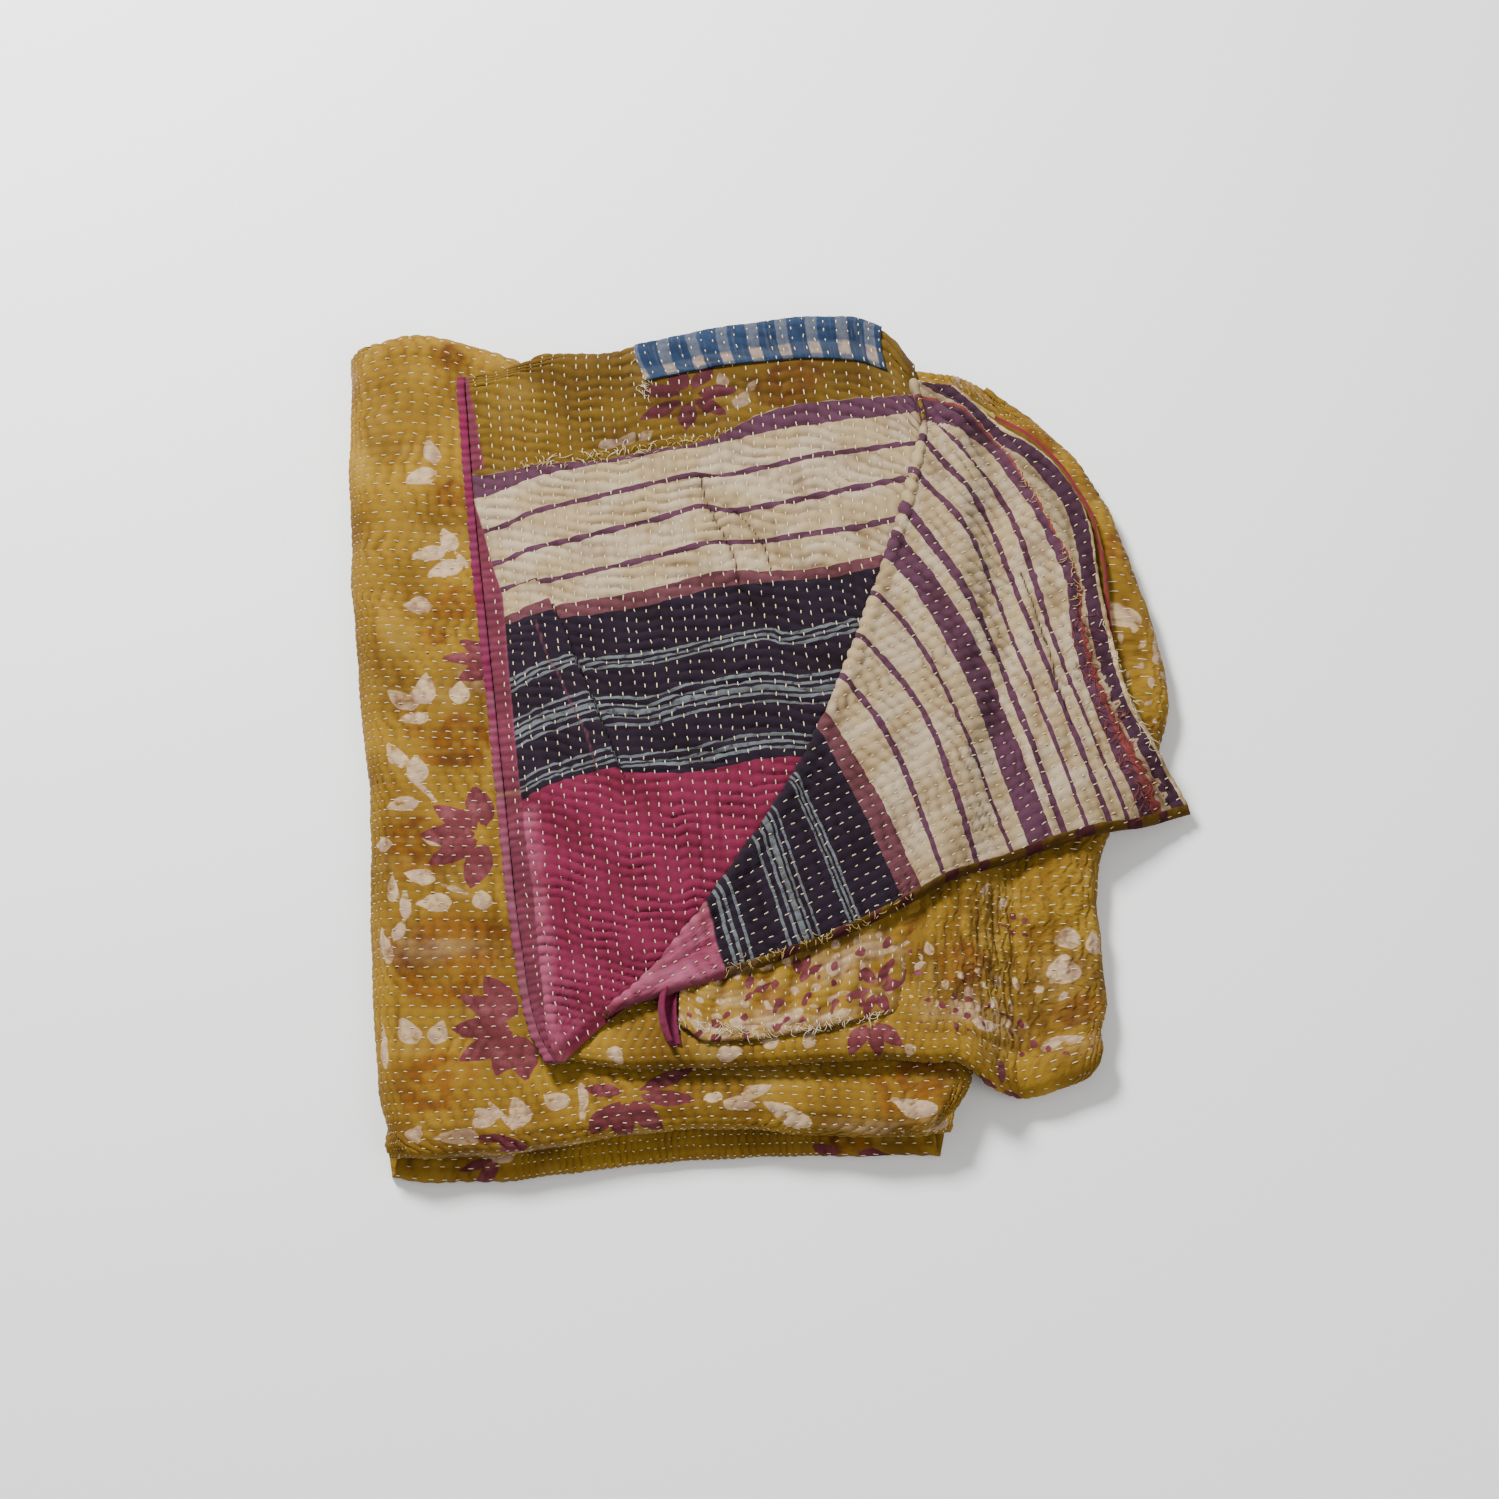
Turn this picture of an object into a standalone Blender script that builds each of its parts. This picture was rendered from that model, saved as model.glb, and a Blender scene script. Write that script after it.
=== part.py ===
"""A kantha quilt, folded back and forth into a pile, with one corner of its top leaf turned up and across.

Metres, +Z up. The origin is on the surface under the middle of the pile's box. The camera side is -Y, so
"front" is -Y, "rear" is +Y, "left" is -X and "right" is +X. Sizes are written in millimetres and made
metres by MM.
"""

import math

import bmesh
import bpy

MM = 0.001
ORIGIN = (9.5, 21.4, 0.0)   # where the object's origin lies in the tables' own millimetres

# Driving dimensions, mm
CLOTH = 4.0            # thickness of the quilted layers
PITCH = 5.8            # from the middle of one leaf to the middle of the next
GROUND = CLOTH / 2     # middle of the leaf that lies on the surface
BINDING_WIDTH = 17.0
BINDING_GAP = 0.9
PATCH_THICK = 1.2
SEAT = 0.3             # clearance between a sewn-on piece and the cloth under it

# Outlines of the lower bundle: along y, then along x
LOWER_LEFT = ((-357, -290), (-290, -296), (-222, -304), (-151, -310), (-88, -311), (-6, -319), (50, -326),
              (126, -336), (194, -341), (293, -347), (375, -349))           # y, x
LOWER_RIGHT = ((-345, 158), (-311, 178), (-150, 182), (358, 170))           # y, x
LOWER_REAR = ((-350, 378), (-322, 396), (-290, 402), (-245, 391), (-200, 374), (-150, 360), (178, 356))  # x, y
UPPER_FRONT_FOLD = ((-300, -360), (-281, -363), (-252, -361), (-207, -359), (-179, -357), (-143, -350),
                    (-105, -341), (-39, -335), (40, -339), (119, -346), (165, -338))   # x, y
GROUND_FRONT_FOLD = ((-292, -368), (-280, -372), (-254, -376), (-198, -375), (-119, -364), (-39, -356),
                     (40, -353), (120, -354), (160, -352))                  # x, y

# Outlines of the two leaves that lie on it
MIDDLE_LEFT = ((-290, -146), (-200, -140), (0, -152), (360, -172))          # y, x
MIDDLE_RIGHT = ((-292, 284), (-216, 290), (-164, 285), (-92, 284), (-50, 318), (0, 342), (41, 352),
                (124, 342), (204, 318), (270, 293), (320, 258), (347, 218), (358, 180), (372, 120))  # y, x
MIDDLE_FRONT = ((-157, -290), (-103, -297), (8, -293), (88, -288), (168, -292), (190, -308), (212, -310),
                (236, -304), (260, -296), (284, -284))                      # x, y
MIDDLE_REAR = ((-200, 352), (90, 352), (140, 362), (183, 357), (220, 345), (360, 335))                     # x, y

# Outlines of the top leaf: its bound hem, the side hidden under the turned corner, and its rear fold
HEM = ((-292, -158), (-47, -189), (92, -209), (277, -229), (342, -243), (360, -248))                       # y, x
TOP_RIGHT = ((-290, -149), (-248, -110), (-225, -78), (-161, -6), (-31, 84), (128, 142), (294, 160),
             (366, 142), (420, 136))                                        # y, x
TOP_REAR = ((-248, 358), (-174, 371), (-99, 386), (-26, 404), (44, 415), (88, 417), (115, 407), (140, 372))  # x, y

# The turned corner, as four sides from its apex at the rear to its hem at the front
TURN_FOLD = ((141, 343), (150, 294), (128, 204), (100, 115), (71, 33), (42, -30), (9, -86), (-30, -145),
             (-66, -195), (-91, -225), (-117, -248))
TURN_OUTER = ((180, 337), (211, 311), (259, 271), (290, 217), (299, 130), (314, 50), (335, 1), (366, -54))
TURN_HEM = ((-117, -248), (-81, -235), (-45, -222), (-17, -215), (33, -197), (81, -177), (130, -150),
            (171, -125), (221, -104), (279, -84), (332, -68), (366, -54))

# The hem of the leaf under the turned corner, seen as a second edge outside it
INNER_EDGE = ((150, 356), (190, 344), (232, 320), (272, 283), (300, 232), (315, 170), (322, 110), (329, 60),
              (333, 25))                                                    # x, y
# The loose hem under the turned corner: front edge
FLAP_FRONT = ((-56, -256), (-44, -272), (8, -270), (56, -261), (96, -251), (150, -236))  # x, y


def clear_scene():
    for thing in list(bpy.data.objects):
        bpy.data.objects.remove(thing, do_unlink=True)


def look_up(table, key):
    """The second column of a table at a value of its first, between rows by straight lines."""
    if key <= table[0][0]:
        return table[0][1]
    for (k0, v0), (k1, v1) in zip(table, table[1:]):
        if key <= k1:
            return v0 + (v1 - v0) * (key - k0) / (k1 - k0)
    return table[-1][1]


def along(points, t):
    """The point at fraction t of a line through these points, by length."""
    steps = [math.dist(p, q) for p, q in zip(points, points[1:])]
    left = t * sum(steps)
    for (p, q), step in zip(zip(points, points[1:]), steps):
        if left <= step:
            return tuple(a + (b - a) * left / step for a, b in zip(p, q))
        left -= step
    return tuple(points[-1])


def ease(value, start, end):
    """0 before start, 1 after end, and smooth between."""
    t = min(1.0, max(0.0, (value - start) / (end - start)))
    return t * t * (3 - 2 * t)


def mix(a, b, t):
    return a + (b - a) * t


def hump(x, y, middle_x, middle_y, half_x, half_y, height):
    return height * math.exp(-((x - middle_x) / half_x) ** 2 - ((y - middle_y) / half_y) ** 2)


# Heights of the leaves' middles, mm ---------------------------------------------------------------------

def rumple(x, y):
    """The long unevenness that all the upper leaves share."""
    return 1.3 * math.sin(x / 62 + y / 160) + 1.0 * math.sin(y / 75 - x / 190 + 1.0)


def lower_top(x, y):
    """The leaf that shows at the left and in front."""
    swell = 7.0 * ease(-y, 235, 330)
    side = 3.5 * (1 - ease(x, -330, -240))
    return GROUND + 3 * PITCH + 4.5 + swell + side + rumple(x, y)


def middle_under(x, y):
    """On the lower bundle, then down to the surface past its right end."""
    on_bundle = lower_top(x, y) + PITCH
    return mix(on_bundle, GROUND, ease(x, 176, 222))


def middle_over(x, y):
    """The leaf whose rounded fold shows in front of the turned corner."""
    front = 7.0 * ease(-y, 200, 278) * ease(x, -146, -70)
    right = 16.0 * ease(x, 184, 240) - 3.0 * ease(x, 250, 330)
    return middle_under(x, y) + PITCH + front * (1 - ease(x, 180, 240)) + right


def top_leaf(x, y):
    """The striped leaf: on the middle leaves, and down on the lower bundle along its bound hem."""
    edge = look_up(MIDDLE_LEFT, y)
    covered = ease(x, edge - 50, edge - 16)
    high = middle_over(x, y) + PITCH
    low = lower_top(x, y) + PITCH
    return mix(low, high, covered)


def turned_corner(x, y):
    """The corner that lies over the top leaf, and hangs past the middle leaves at the far right."""
    over = top_leaf(x, y) + PITCH + hump(x, y, 60, -190, 110, 45, 4.0)
    rim = look_up(MIDDLE_RIGHT, y)
    return mix(over, 11.0, ease(x, rim - 8, rim + 46))


# Sheets ---------------------------------------------------------------------------------------------------

def material(name, colour, roughness=0.9):
    made = bpy.data.materials.new(name)
    made.use_nodes = True
    shader = made.node_tree.nodes["Principled BSDF"]
    shader.inputs["Base Color"].default_value = (*colour, 1.0)
    shader.inputs["Roughness"].default_value = roughness
    shader.inputs["Metallic"].default_value = 0.0
    return made


def sheet(name, across, rows, place, thickness, home, finish):
    """A grid whose point (column, row) is placed by place(), thickened about its middle."""
    bm = bmesh.new()
    bmesh.ops.create_grid(bm, x_segments=across, y_segments=rows, size=0.5)
    for vert in bm.verts:
        column = round((vert.co.x + 0.5) * across)
        row = round((vert.co.y + 0.5) * rows)
        vert.co = [(value - origin) * MM for value, origin in zip(place(column, row), ORIGIN)]
    mesh = bpy.data.meshes.new(name)
    bm.to_mesh(mesh)
    bm.free()
    thing = bpy.data.objects.new(name, mesh)
    home.objects.link(thing)
    mesh.materials.append(finish)
    solid = thing.modifiers.new("Thickness", "SOLIDIFY")
    solid.thickness = thickness * MM
    solid.offset = 0.0
    solid.use_quality_normals = True
    return thing


# The accordion: five leaves of the lower and middle bundles and the folds between them --------------------

COLUMNS = 24
LEFT_CURL = 5          # columns of the rounded left side
RIGHT_CURL = 19        # column where the rounded right side starts
PAST_END = 13          # column of the middle leaves at the end of the lower bundle
ON_SURFACE = 18        # column of the middle leaves where they reach the surface
UPPER_FOLD_Y = 342     # how far ahead of the origin each front fold is before its unevenness
GROUND_FOLD_Y = 364
ROWS_Y = (-278, -255, -225, -185, -135, -80, -20, 45, 115, 190, 260, 310, 332, 350)


def lower_x(column, y, inset):
    left = look_up(LOWER_LEFT, y) + inset
    right = look_up(LOWER_RIGHT, y) - inset
    return mix(left, right, column / COLUMNS)


def lower_ends(x, y, front):
    """Moves a point's y so that the leaf ends on the bundle's uneven front and rear."""
    rear = look_up(LOWER_REAR, x) - ROWS_Y[-1] - 6
    ahead = look_up(front, x) + (UPPER_FOLD_Y if front is UPPER_FRONT_FOLD else GROUND_FOLD_Y)
    return y + rear * ease(y, 190, ROWS_Y[-1]) + ahead * ease(-y, 200, 330)


def inner_leaf(height):
    """A plain leaf of the lower bundle, inside its rounded sides."""
    def at(column, y, front=UPPER_FRONT_FOLD):
        x = lower_x(column, y, 21 - 12 * ease(-y, 300, 330))
        return x, lower_ends(x, y, front), height
    return at


def ground_leaf(column, y):
    x = lower_x(column, y, 24 - 19 * ease(-y, 312, 345))
    return x, lower_ends(x, y, GROUND_FRONT_FOLD), GROUND


def first_leaf(column, y):
    return inner_leaf(GROUND + PITCH)(column, y, GROUND_FRONT_FOLD)


def lower_top_leaf(column, y):
    """Its sides round down to the surface, and open towards the front fold."""
    left, right = look_up(LOWER_LEFT, y), look_up(LOWER_RIGHT, y)
    closing = ease(y, -332, -285)
    high = lower_top(left + 12, y) if column < LEFT_CURL else lower_top(right - 12, y)
    radius = (high - GROUND) / 2
    if column < LEFT_CURL:
        turn = math.pi * (1 - column / LEFT_CURL)
        round_x = left + CLOTH / 2 + radius * (1 - math.sin(turn))
        flat_x = mix(left + 5, left + CLOTH / 2 + radius, column / LEFT_CURL)
        start = turn
    elif column > RIGHT_CURL:
        turn = math.pi * (column - RIGHT_CURL) / (COLUMNS - RIGHT_CURL)
        round_x = right - CLOTH / 2 - radius * (1 - math.sin(turn))
        flat_x = mix(right - CLOTH / 2 - radius, right - 6, (column - RIGHT_CURL) / (COLUMNS - RIGHT_CURL))
        start = turn
    else:
        t = (column - LEFT_CURL) / (RIGHT_CURL - LEFT_CURL)
        x = mix(left + CLOTH / 2 + radius, right - CLOTH / 2 - radius, t)
        return x, lower_ends(x, y, UPPER_FRONT_FOLD), lower_top(x, y)
    x = mix(flat_x, round_x, closing)
    round_z = GROUND + radius * (1 + math.cos(start))
    droop = 5.0 * math.sin(start / 2) ** 2
    z = mix(lower_top(x, y) - droop, round_z, closing)
    return x, lower_ends(x, y, UPPER_FRONT_FOLD), z


def middle_ends(x, y):
    rear = look_up(MIDDLE_REAR, x) - ROWS_Y[-1] - 3
    ahead = look_up(MIDDLE_FRONT, x) + 292
    return y + rear * ease(y, 230, ROWS_Y[-1]) + ahead * ease(-y, 200, 270)


def middle_x(column, y, right):
    left = look_up(MIDDLE_LEFT, y)
    end = min(168, right - 44)
    down = min(228, right - 12)
    if column <= PAST_END:
        return mix(left, end, column / PAST_END)
    if column <= ON_SURFACE:
        return mix(end, down, (column - PAST_END) / (ON_SURFACE - PAST_END))
    return mix(down, right, (column - ON_SURFACE) / (COLUMNS - ON_SURFACE))


def middle_under_leaf(column, y):
    x = middle_x(column, y, look_up(MIDDLE_RIGHT, y) - 24)
    seam = (PITCH - 3.0) * ease(y, 315, ROWS_Y[-1]) * (1 - ease(x, 150, 176))
    return x, middle_ends(x, y), middle_under(x, y) - seam


def middle_over_leaf(column, y):
    """Its right side rounds down to the surface."""
    right = look_up(MIDDLE_RIGHT, y)
    curl = ON_SURFACE + 1
    high = middle_over(right - 12, y)
    low = middle_under(right - 24, y)
    radius = (high - low) / 2
    flat_end = right - CLOTH / 2 - radius
    if column <= curl:
        x = flat_end if column == curl else middle_x(column, y, flat_end + 4)
        return x, middle_ends(x, y), middle_over(x, y)
    t = (column - curl) / (COLUMNS - curl)
    turn = math.pi * t
    closing = ease(y, ROWS_Y[0], ROWS_Y[2]) * (1 - ease(y, 260, 332))
    x = flat_end + mix((right - 3 - flat_end) * t, radius * math.sin(turn), closing)
    z = mix(high - 3.0 * t * t, low + radius * (1 + math.cos(turn)), closing)
    return x, middle_ends(x, y), z


def leaf_rows(leaf, ys):
    return [lambda column, y=y: leaf(column, y) for y in ys]


def fold_rows(lower, upper, y, bulge, count):
    """Rows round a fold from the end of one leaf to the end of the next; bulge is + at the rear."""
    def row(angle):
        def at(column):
            p, q = lower(column, y), upper(column, y)
            middle = [(a + b) / 2 for a, b in zip(p, q)]
            half = [(b - a) / 2 for a, b in zip(p, q)]
            point = [m - math.cos(angle) * h for m, h in zip(middle, half)]
            point[1] += math.copysign(min(abs(bulge), 1.15 * abs(half[2])), bulge) * math.sin(angle)
            return tuple(point)
        return at
    return [row(math.pi * n / (count + 1)) for n in range(1, count + 1)]


def rear_roll(leaf):
    """Rows that round a leaf's rear end down, but for its rounded sides, which run straight out."""
    count, radius, low = 3, 9.0, 7.0

    def row(n):
        def at(column):
            x, y, z = leaf(column, ROWS_Y[-1])
            reach = 0.9 * ease(x, -332, -300) * (1 - ease(x, 130, 155))
            turn = math.pi * reach * n / count
            y += radius * math.sin(turn) + 2.0 * n * (1 - reach)
            return x, y, z - (z - low) / 2 * (1 - math.cos(turn))
        return at
    return [row(n) for n in range(1, count + 1)]


def lower_rows():
    """The lower bundle: four leaves, back and forth, from the surface up."""
    rear = ROWS_Y[-1]
    second = inner_leaf(GROUND + 2 * PITCH)
    rows = leaf_rows(ground_leaf, (rear - 4, 190, -80, -250, -358))
    rows += fold_rows(ground_leaf, first_leaf, -358, -4.0, 3)
    rows += leaf_rows(first_leaf, (-358, -250, 0, 200, rear - 8))
    rows += fold_rows(first_leaf, second, rear - 8, 3.5, 3)
    rows += leaf_rows(second, (rear - 8, 200, 0, -200, -330))
    rows += fold_rows(second, lower_top_leaf, -330, -12.0, 4)
    rows += leaf_rows(lower_top_leaf, (-330, -312, -294) + ROWS_Y)
    rows += rear_roll(lower_top_leaf)
    return rows


def middle_rows():
    """The two leaves on it, from the rear to their front fold and back."""
    rows = leaf_rows(middle_under_leaf, ROWS_Y[::-1])
    rows += fold_rows(middle_under_leaf, middle_over_leaf, ROWS_Y[0], -11.0, 4)
    rows += leaf_rows(middle_over_leaf, ROWS_Y)
    return rows


# The top leaf, the turned corner and the two loose hems under it -------------------------------------------

TOP_COLUMNS, TOP_ROLL = 17, 4
TOP_LEVELS = tuple((y - ROWS_Y[0]) / (ROWS_Y[-1] - ROWS_Y[0]) for y in ROWS_Y[:-2]) + (0.965, 1.0)
TOP_ROWS = len(TOP_LEVELS) - 1
REAR_RADIUS = 13.0
TURN_COLUMNS, TURN_ROWS = 14, 15
INNER_ACROSS, INNER_ALONG = 4, 16
FLAP_ACROSS, FLAP_ALONG = 10, 4
PATCH_COLUMNS = (7, 16)
PATCH_ROWS = (11, 15)


def binding_width(y):
    return min(BINDING_WIDTH, 0.45 * (look_up(TOP_RIGHT, y) - look_up(HEM, y)))


def top_frame(u, row):
    """How far back a row of the top leaf is, and how far down its rear fold has rolled there."""
    rear_x = mix(TOP_REAR[0][0], TOP_REAR[-1][0], u)
    rolled = ease(rear_x, -205, -120)
    start = HEM[0][0] + 3
    end = look_up(TOP_REAR, rear_x) - CLOTH / 2 - mix(10, REAR_RADIUS, rolled)
    y = mix(start, end, TOP_LEVELS[min(row, TOP_ROWS)])
    past = max(0, row - TOP_ROWS)
    turn = math.pi * rolled * past / TOP_ROLL
    return y, REAR_RADIUS * math.sin(turn) + 2.5 * (1 - rolled) * past, 0.5 * (1 - math.cos(turn))


def top_leaf_point(column, row):
    """From the corner at the front to the rear fold, which rolls down behind the pile."""
    u = column / TOP_COLUMNS
    y, back, down = top_frame(u, row)
    x = mix(look_up(HEM, y) + binding_width(y) + BINDING_GAP, look_up(TOP_RIGHT, y), u)
    z = top_leaf(x, y)
    return x, y + back, z - (z - 7.0) * down


def binding_point(column, row):
    """The bound edge: a strip that closes the top leaf's hem side."""
    y, back, down = top_frame(0, row)
    x = look_up(HEM, y) + binding_width(y) * column / 2
    return x, y + back, top_leaf(x, y) + 0.2


def patch_point(column, row):
    """The sewn-on patch, over the top leaf's rear fold."""
    c, r = PATCH_COLUMNS[0] + column, PATCH_ROWS[0] + row
    here = top_leaf_point(c, r)
    across = [b - a for a, b in zip(top_leaf_point(c - 1, r), top_leaf_point(c + 1, r))]
    back = [b - a for a, b in zip(top_leaf_point(c, r - 1), top_leaf_point(c, r + 1))]
    out = (across[1] * back[2] - across[2] * back[1],
           across[2] * back[0] - across[0] * back[2],
           across[0] * back[1] - across[1] * back[0])
    rise = (CLOTH / 2 + SEAT + PATCH_THICK / 2 + 0.15) / math.hypot(*out)
    return tuple(p + rise * n for p, n in zip(here, out))


def turned_corner_point(column, row):
    """Spread between its four sides; its fold side rolls under, down to the top leaf."""
    v = row / TURN_ROWS
    under = column < 2
    u = max(0, column - 2) / (TURN_COLUMNS - 2)
    left, right = along(TURN_FOLD, v), along(TURN_OUTER, v)
    near, far = along((TURN_FOLD[0], TURN_OUTER[0]), u), along(TURN_HEM, u)
    corners = (TURN_FOLD[0], TURN_OUTER[0], TURN_FOLD[-1], TURN_OUTER[-1])
    flat = []
    for axis in (0, 1):
        sides = mix(left[axis], right[axis], u) + mix(near[axis], far[axis], v)
        bent = mix(mix(corners[0][axis], corners[1][axis], u), mix(corners[2][axis], corners[3][axis], u), v)
        flat.append(sides - bent)
    x, y = flat
    z = turned_corner(x, y)
    if under:
        width = min(7.0, 0.2 * math.dist(left, right))
        x += width * (0.9 if column == 0 else -0.25)
        z = mix(top_leaf(x, y) + 0.7, z, 0.0 if column == 0 else 0.5)
    return x, y, z


def inner_hem_point(column, row):
    """A strip of the leaf under the turned corner, along the rolled right side, its hem standing up."""
    x0, y0 = along(INNER_EDGE, row / INNER_ALONG)
    inward = math.atan2(20 - y0, 120 - x0)
    step = 13.0 * (INNER_ACROSS - column)
    x, y = x0 + step * math.cos(inward), y0 + step * math.sin(inward)
    stand = 3.5 if column == INNER_ACROSS else 0.0
    return x, y, middle_over(x, y) + PITCH - 0.9 + stand


def flap_point(column, row):
    """The loose hem in front, under the turned corner's hem."""
    u = column / FLAP_ACROSS
    x = mix(FLAP_FRONT[0][0], FLAP_FRONT[-1][0], u)
    front_y = look_up(FLAP_FRONT, x)
    y = front_y + (68 + 30 * u) * row / FLAP_ALONG
    fade = -3.8 * ease(u, 0.75, 1.0)
    return x, y, middle_over(x, y) + PITCH + 0.5 + fade


def main():
    clear_scene()
    home = bpy.data.collections.new("kantha_quilt")
    joins = bpy.data.collections.new("joined_leaves")
    for collection in (home, joins):
        bpy.context.scene.collection.children.link(collection)
    cloth = material("quilted_cotton", (0.45, 0.27, 0.05))
    lower, middle = lower_rows(), middle_rows()
    quilt = sheet("quilt", COLUMNS, len(lower) - 1, lambda c, r: lower[r](c), CLOTH, home, cloth)
    leaves = (
        ("middle_leaves", COLUMNS, len(middle) - 1, lambda c, r: middle[r](c)),
        ("top_leaf", TOP_COLUMNS, TOP_ROWS + TOP_ROLL, top_leaf_point),
        ("turned_corner", TURN_COLUMNS, TURN_ROWS, turned_corner_point),
        ("inner_hem", INNER_ACROSS, INNER_ALONG, inner_hem_point),
        ("loose_hem", FLAP_ACROSS, FLAP_ALONG, flap_point),
    )
    for name, across, count, place in leaves:
        leaf = sheet(name, across, count, place, CLOTH, joins, cloth)
        leaf.hide_render = True
        leaf.display_type = "WIRE"
        join = quilt.modifiers.new("Join " + name, "BOOLEAN")
        join.operation = "UNION"
        join.object = leaf
    bound = material("magenta_cotton", (0.34, 0.06, 0.14))
    sheet("edge_binding", 2, TOP_ROWS + TOP_ROLL, binding_point, CLOTH + 0.4, home, bound)
    checked = material("blue_check_cotton", (0.08, 0.20, 0.36))
    across, deep = PATCH_COLUMNS[1] - PATCH_COLUMNS[0], PATCH_ROWS[1] - PATCH_ROWS[0]
    sheet("check_patch", across, deep, patch_point, PATCH_THICK, home, checked)


main()
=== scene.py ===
"""Looks of a kantha quilt, folded back and forth into a pile, with one corner of its top leaf turned across.

Each leaf of the pile is a smooth, finely divided sheet on the rows of points of its solid, with the quilting's
puckers, creases and rows of running stitch on it. The bound hem lies about 17 mm further left than its solid's,
where the photograph has it. Metres, +Z up; tables are in millimetres.
"""

import math

import bmesh
import bpy
import numpy as np
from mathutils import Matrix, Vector, kdtree


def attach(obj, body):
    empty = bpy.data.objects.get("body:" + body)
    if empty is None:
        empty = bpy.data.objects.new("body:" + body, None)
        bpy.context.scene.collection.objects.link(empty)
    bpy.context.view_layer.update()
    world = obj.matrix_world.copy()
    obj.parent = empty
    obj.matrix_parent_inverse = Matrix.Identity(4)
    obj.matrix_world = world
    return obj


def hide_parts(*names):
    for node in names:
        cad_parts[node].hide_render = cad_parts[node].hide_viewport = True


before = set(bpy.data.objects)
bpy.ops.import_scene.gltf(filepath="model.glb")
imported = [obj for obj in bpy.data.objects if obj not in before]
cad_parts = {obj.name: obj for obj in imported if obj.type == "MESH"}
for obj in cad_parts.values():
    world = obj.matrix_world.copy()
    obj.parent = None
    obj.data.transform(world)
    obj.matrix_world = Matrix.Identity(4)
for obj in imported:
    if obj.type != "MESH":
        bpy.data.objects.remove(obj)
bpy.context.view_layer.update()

MM = 0.001
ORIGIN = (9.5, 21.4, 0.0)   # where the object's origin lies in the tables' own millimetres

# Driving dimensions, mm
CLOTH = 4.0            # thickness of the quilted layers
PITCH = 5.8            # from the middle of one leaf to the middle of the next
GROUND = CLOTH / 2     # middle of the leaf that lies on the surface
BINDING_WIDTH = 6.5    # the dark strip along the top leaf's hem
BINDING_GAP = 0.9
PATCH_THICK = 1.2
SEAT = 0.3             # clearance between a sewn-on piece and the cloth under it
REAR_LOW = 7.0         # height of the rear folds' lower ends
OUTSIDE = -9.0         # a mark's value well outside its shape

# Outlines of the lower bundle: along y, then along x
LOWER_LEFT = ((-357, -290), (-290, -296), (-222, -304), (-151, -310), (-88, -311), (-6, -319), (50, -326),
              (126, -336), (194, -341), (293, -347), (375, -349))           # y, x
LOWER_RIGHT = ((-345, 158), (-311, 178), (-150, 182), (358, 170))           # y, x
LOWER_REAR = ((-350, 378), (-322, 396), (-290, 402), (-245, 391), (-200, 374), (-150, 360), (178, 356))  # x, y
UPPER_FRONT_FOLD = ((-300, -360), (-281, -363), (-252, -361), (-207, -359), (-179, -357), (-143, -350),
                    (-105, -341), (-39, -335), (40, -339), (119, -346), (165, -338))   # x, y
GROUND_FRONT_FOLD = ((-292, -368), (-280, -372), (-254, -376), (-198, -375), (-119, -364), (-39, -356),
                     (40, -353), (120, -354), (160, -352))                  # x, y

# Outlines of the two leaves that lie on it
MIDDLE_LEFT = ((-290, -146), (-200, -140), (0, -152), (360, -172))          # y, x
MIDDLE_RIGHT = ((-292, 284), (-216, 290), (-164, 285), (-92, 284), (-50, 318), (0, 342), (41, 352),
                (124, 342), (204, 318), (270, 293), (320, 258), (347, 218), (358, 180), (372, 120))  # y, x
MIDDLE_FRONT = ((-157, -290), (-103, -297), (8, -293), (88, -288), (168, -292), (190, -308), (212, -310),
                (236, -304), (260, -296), (284, -284))                      # x, y
MIDDLE_REAR = ((-200, 352), (90, 352), (140, 362), (183, 357), (220, 345), (360, 335))                     # x, y

# Outlines of the top leaf: its bound hem, the side hidden under the turned corner, and its rear fold
HEM = ((-292, -160), (-263, -175), (-233, -183), (-146, -197), (-47, -209), (92, -226), (169, -236),
       (259, -246), (342, -254), (360, -256))                               # y, x
MARGIN = ((-292, 9), (-263, 14), (-233, 19), (-146, 23), (-47, 21), (40, 21.5), (92, 22.5), (140, 23.5),
          (169, 18), (209, 11.5), (235, 7), (262, 7), (264, 19), (342, 11), (360, 11))   # y, width of the bound edge
TOP_RIGHT = ((-290, -149), (-248, -110), (-225, -78), (-161, -6), (-31, 84), (128, 142), (294, 160),
             (366, 142), (420, 136))                                        # y, x
TOP_REAR = ((-248, 358), (-174, 371), (-99, 386), (-26, 404), (44, 415), (88, 417), (115, 407), (140, 372))  # x, y

# The turned corner, as four sides from its apex at the rear to its hem at the front
TURN_FOLD = ((141, 343), (150, 294), (128, 204), (100, 115), (71, 33), (42, -30), (9, -86), (-30, -145),
             (-66, -195), (-91, -225), (-117, -248))
TURN_OUTER = ((180, 337), (211, 311), (259, 271), (290, 217), (299, 130), (314, 50), (335, 1), (366, -54))
TURN_HEM = ((-117, -248), (-81, -235), (-45, -222), (-17, -215), (33, -197), (81, -177), (130, -150),
            (171, -125), (221, -104), (279, -84), (332, -68), (366, -54))

# The hem of the leaf under the turned corner, seen as a second edge outside it
INNER_EDGE = ((150, 356), (190, 344), (232, 320), (272, 283), (300, 232), (315, 170), (322, 110), (329, 60),
              (333, 25))                                                    # x, y
# The loose hem under the turned corner: front edge
FLAP_FRONT = ((-56, -256), (-44, -272), (8, -270), (56, -261), (96, -251), (150, -236))  # x, y


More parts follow.
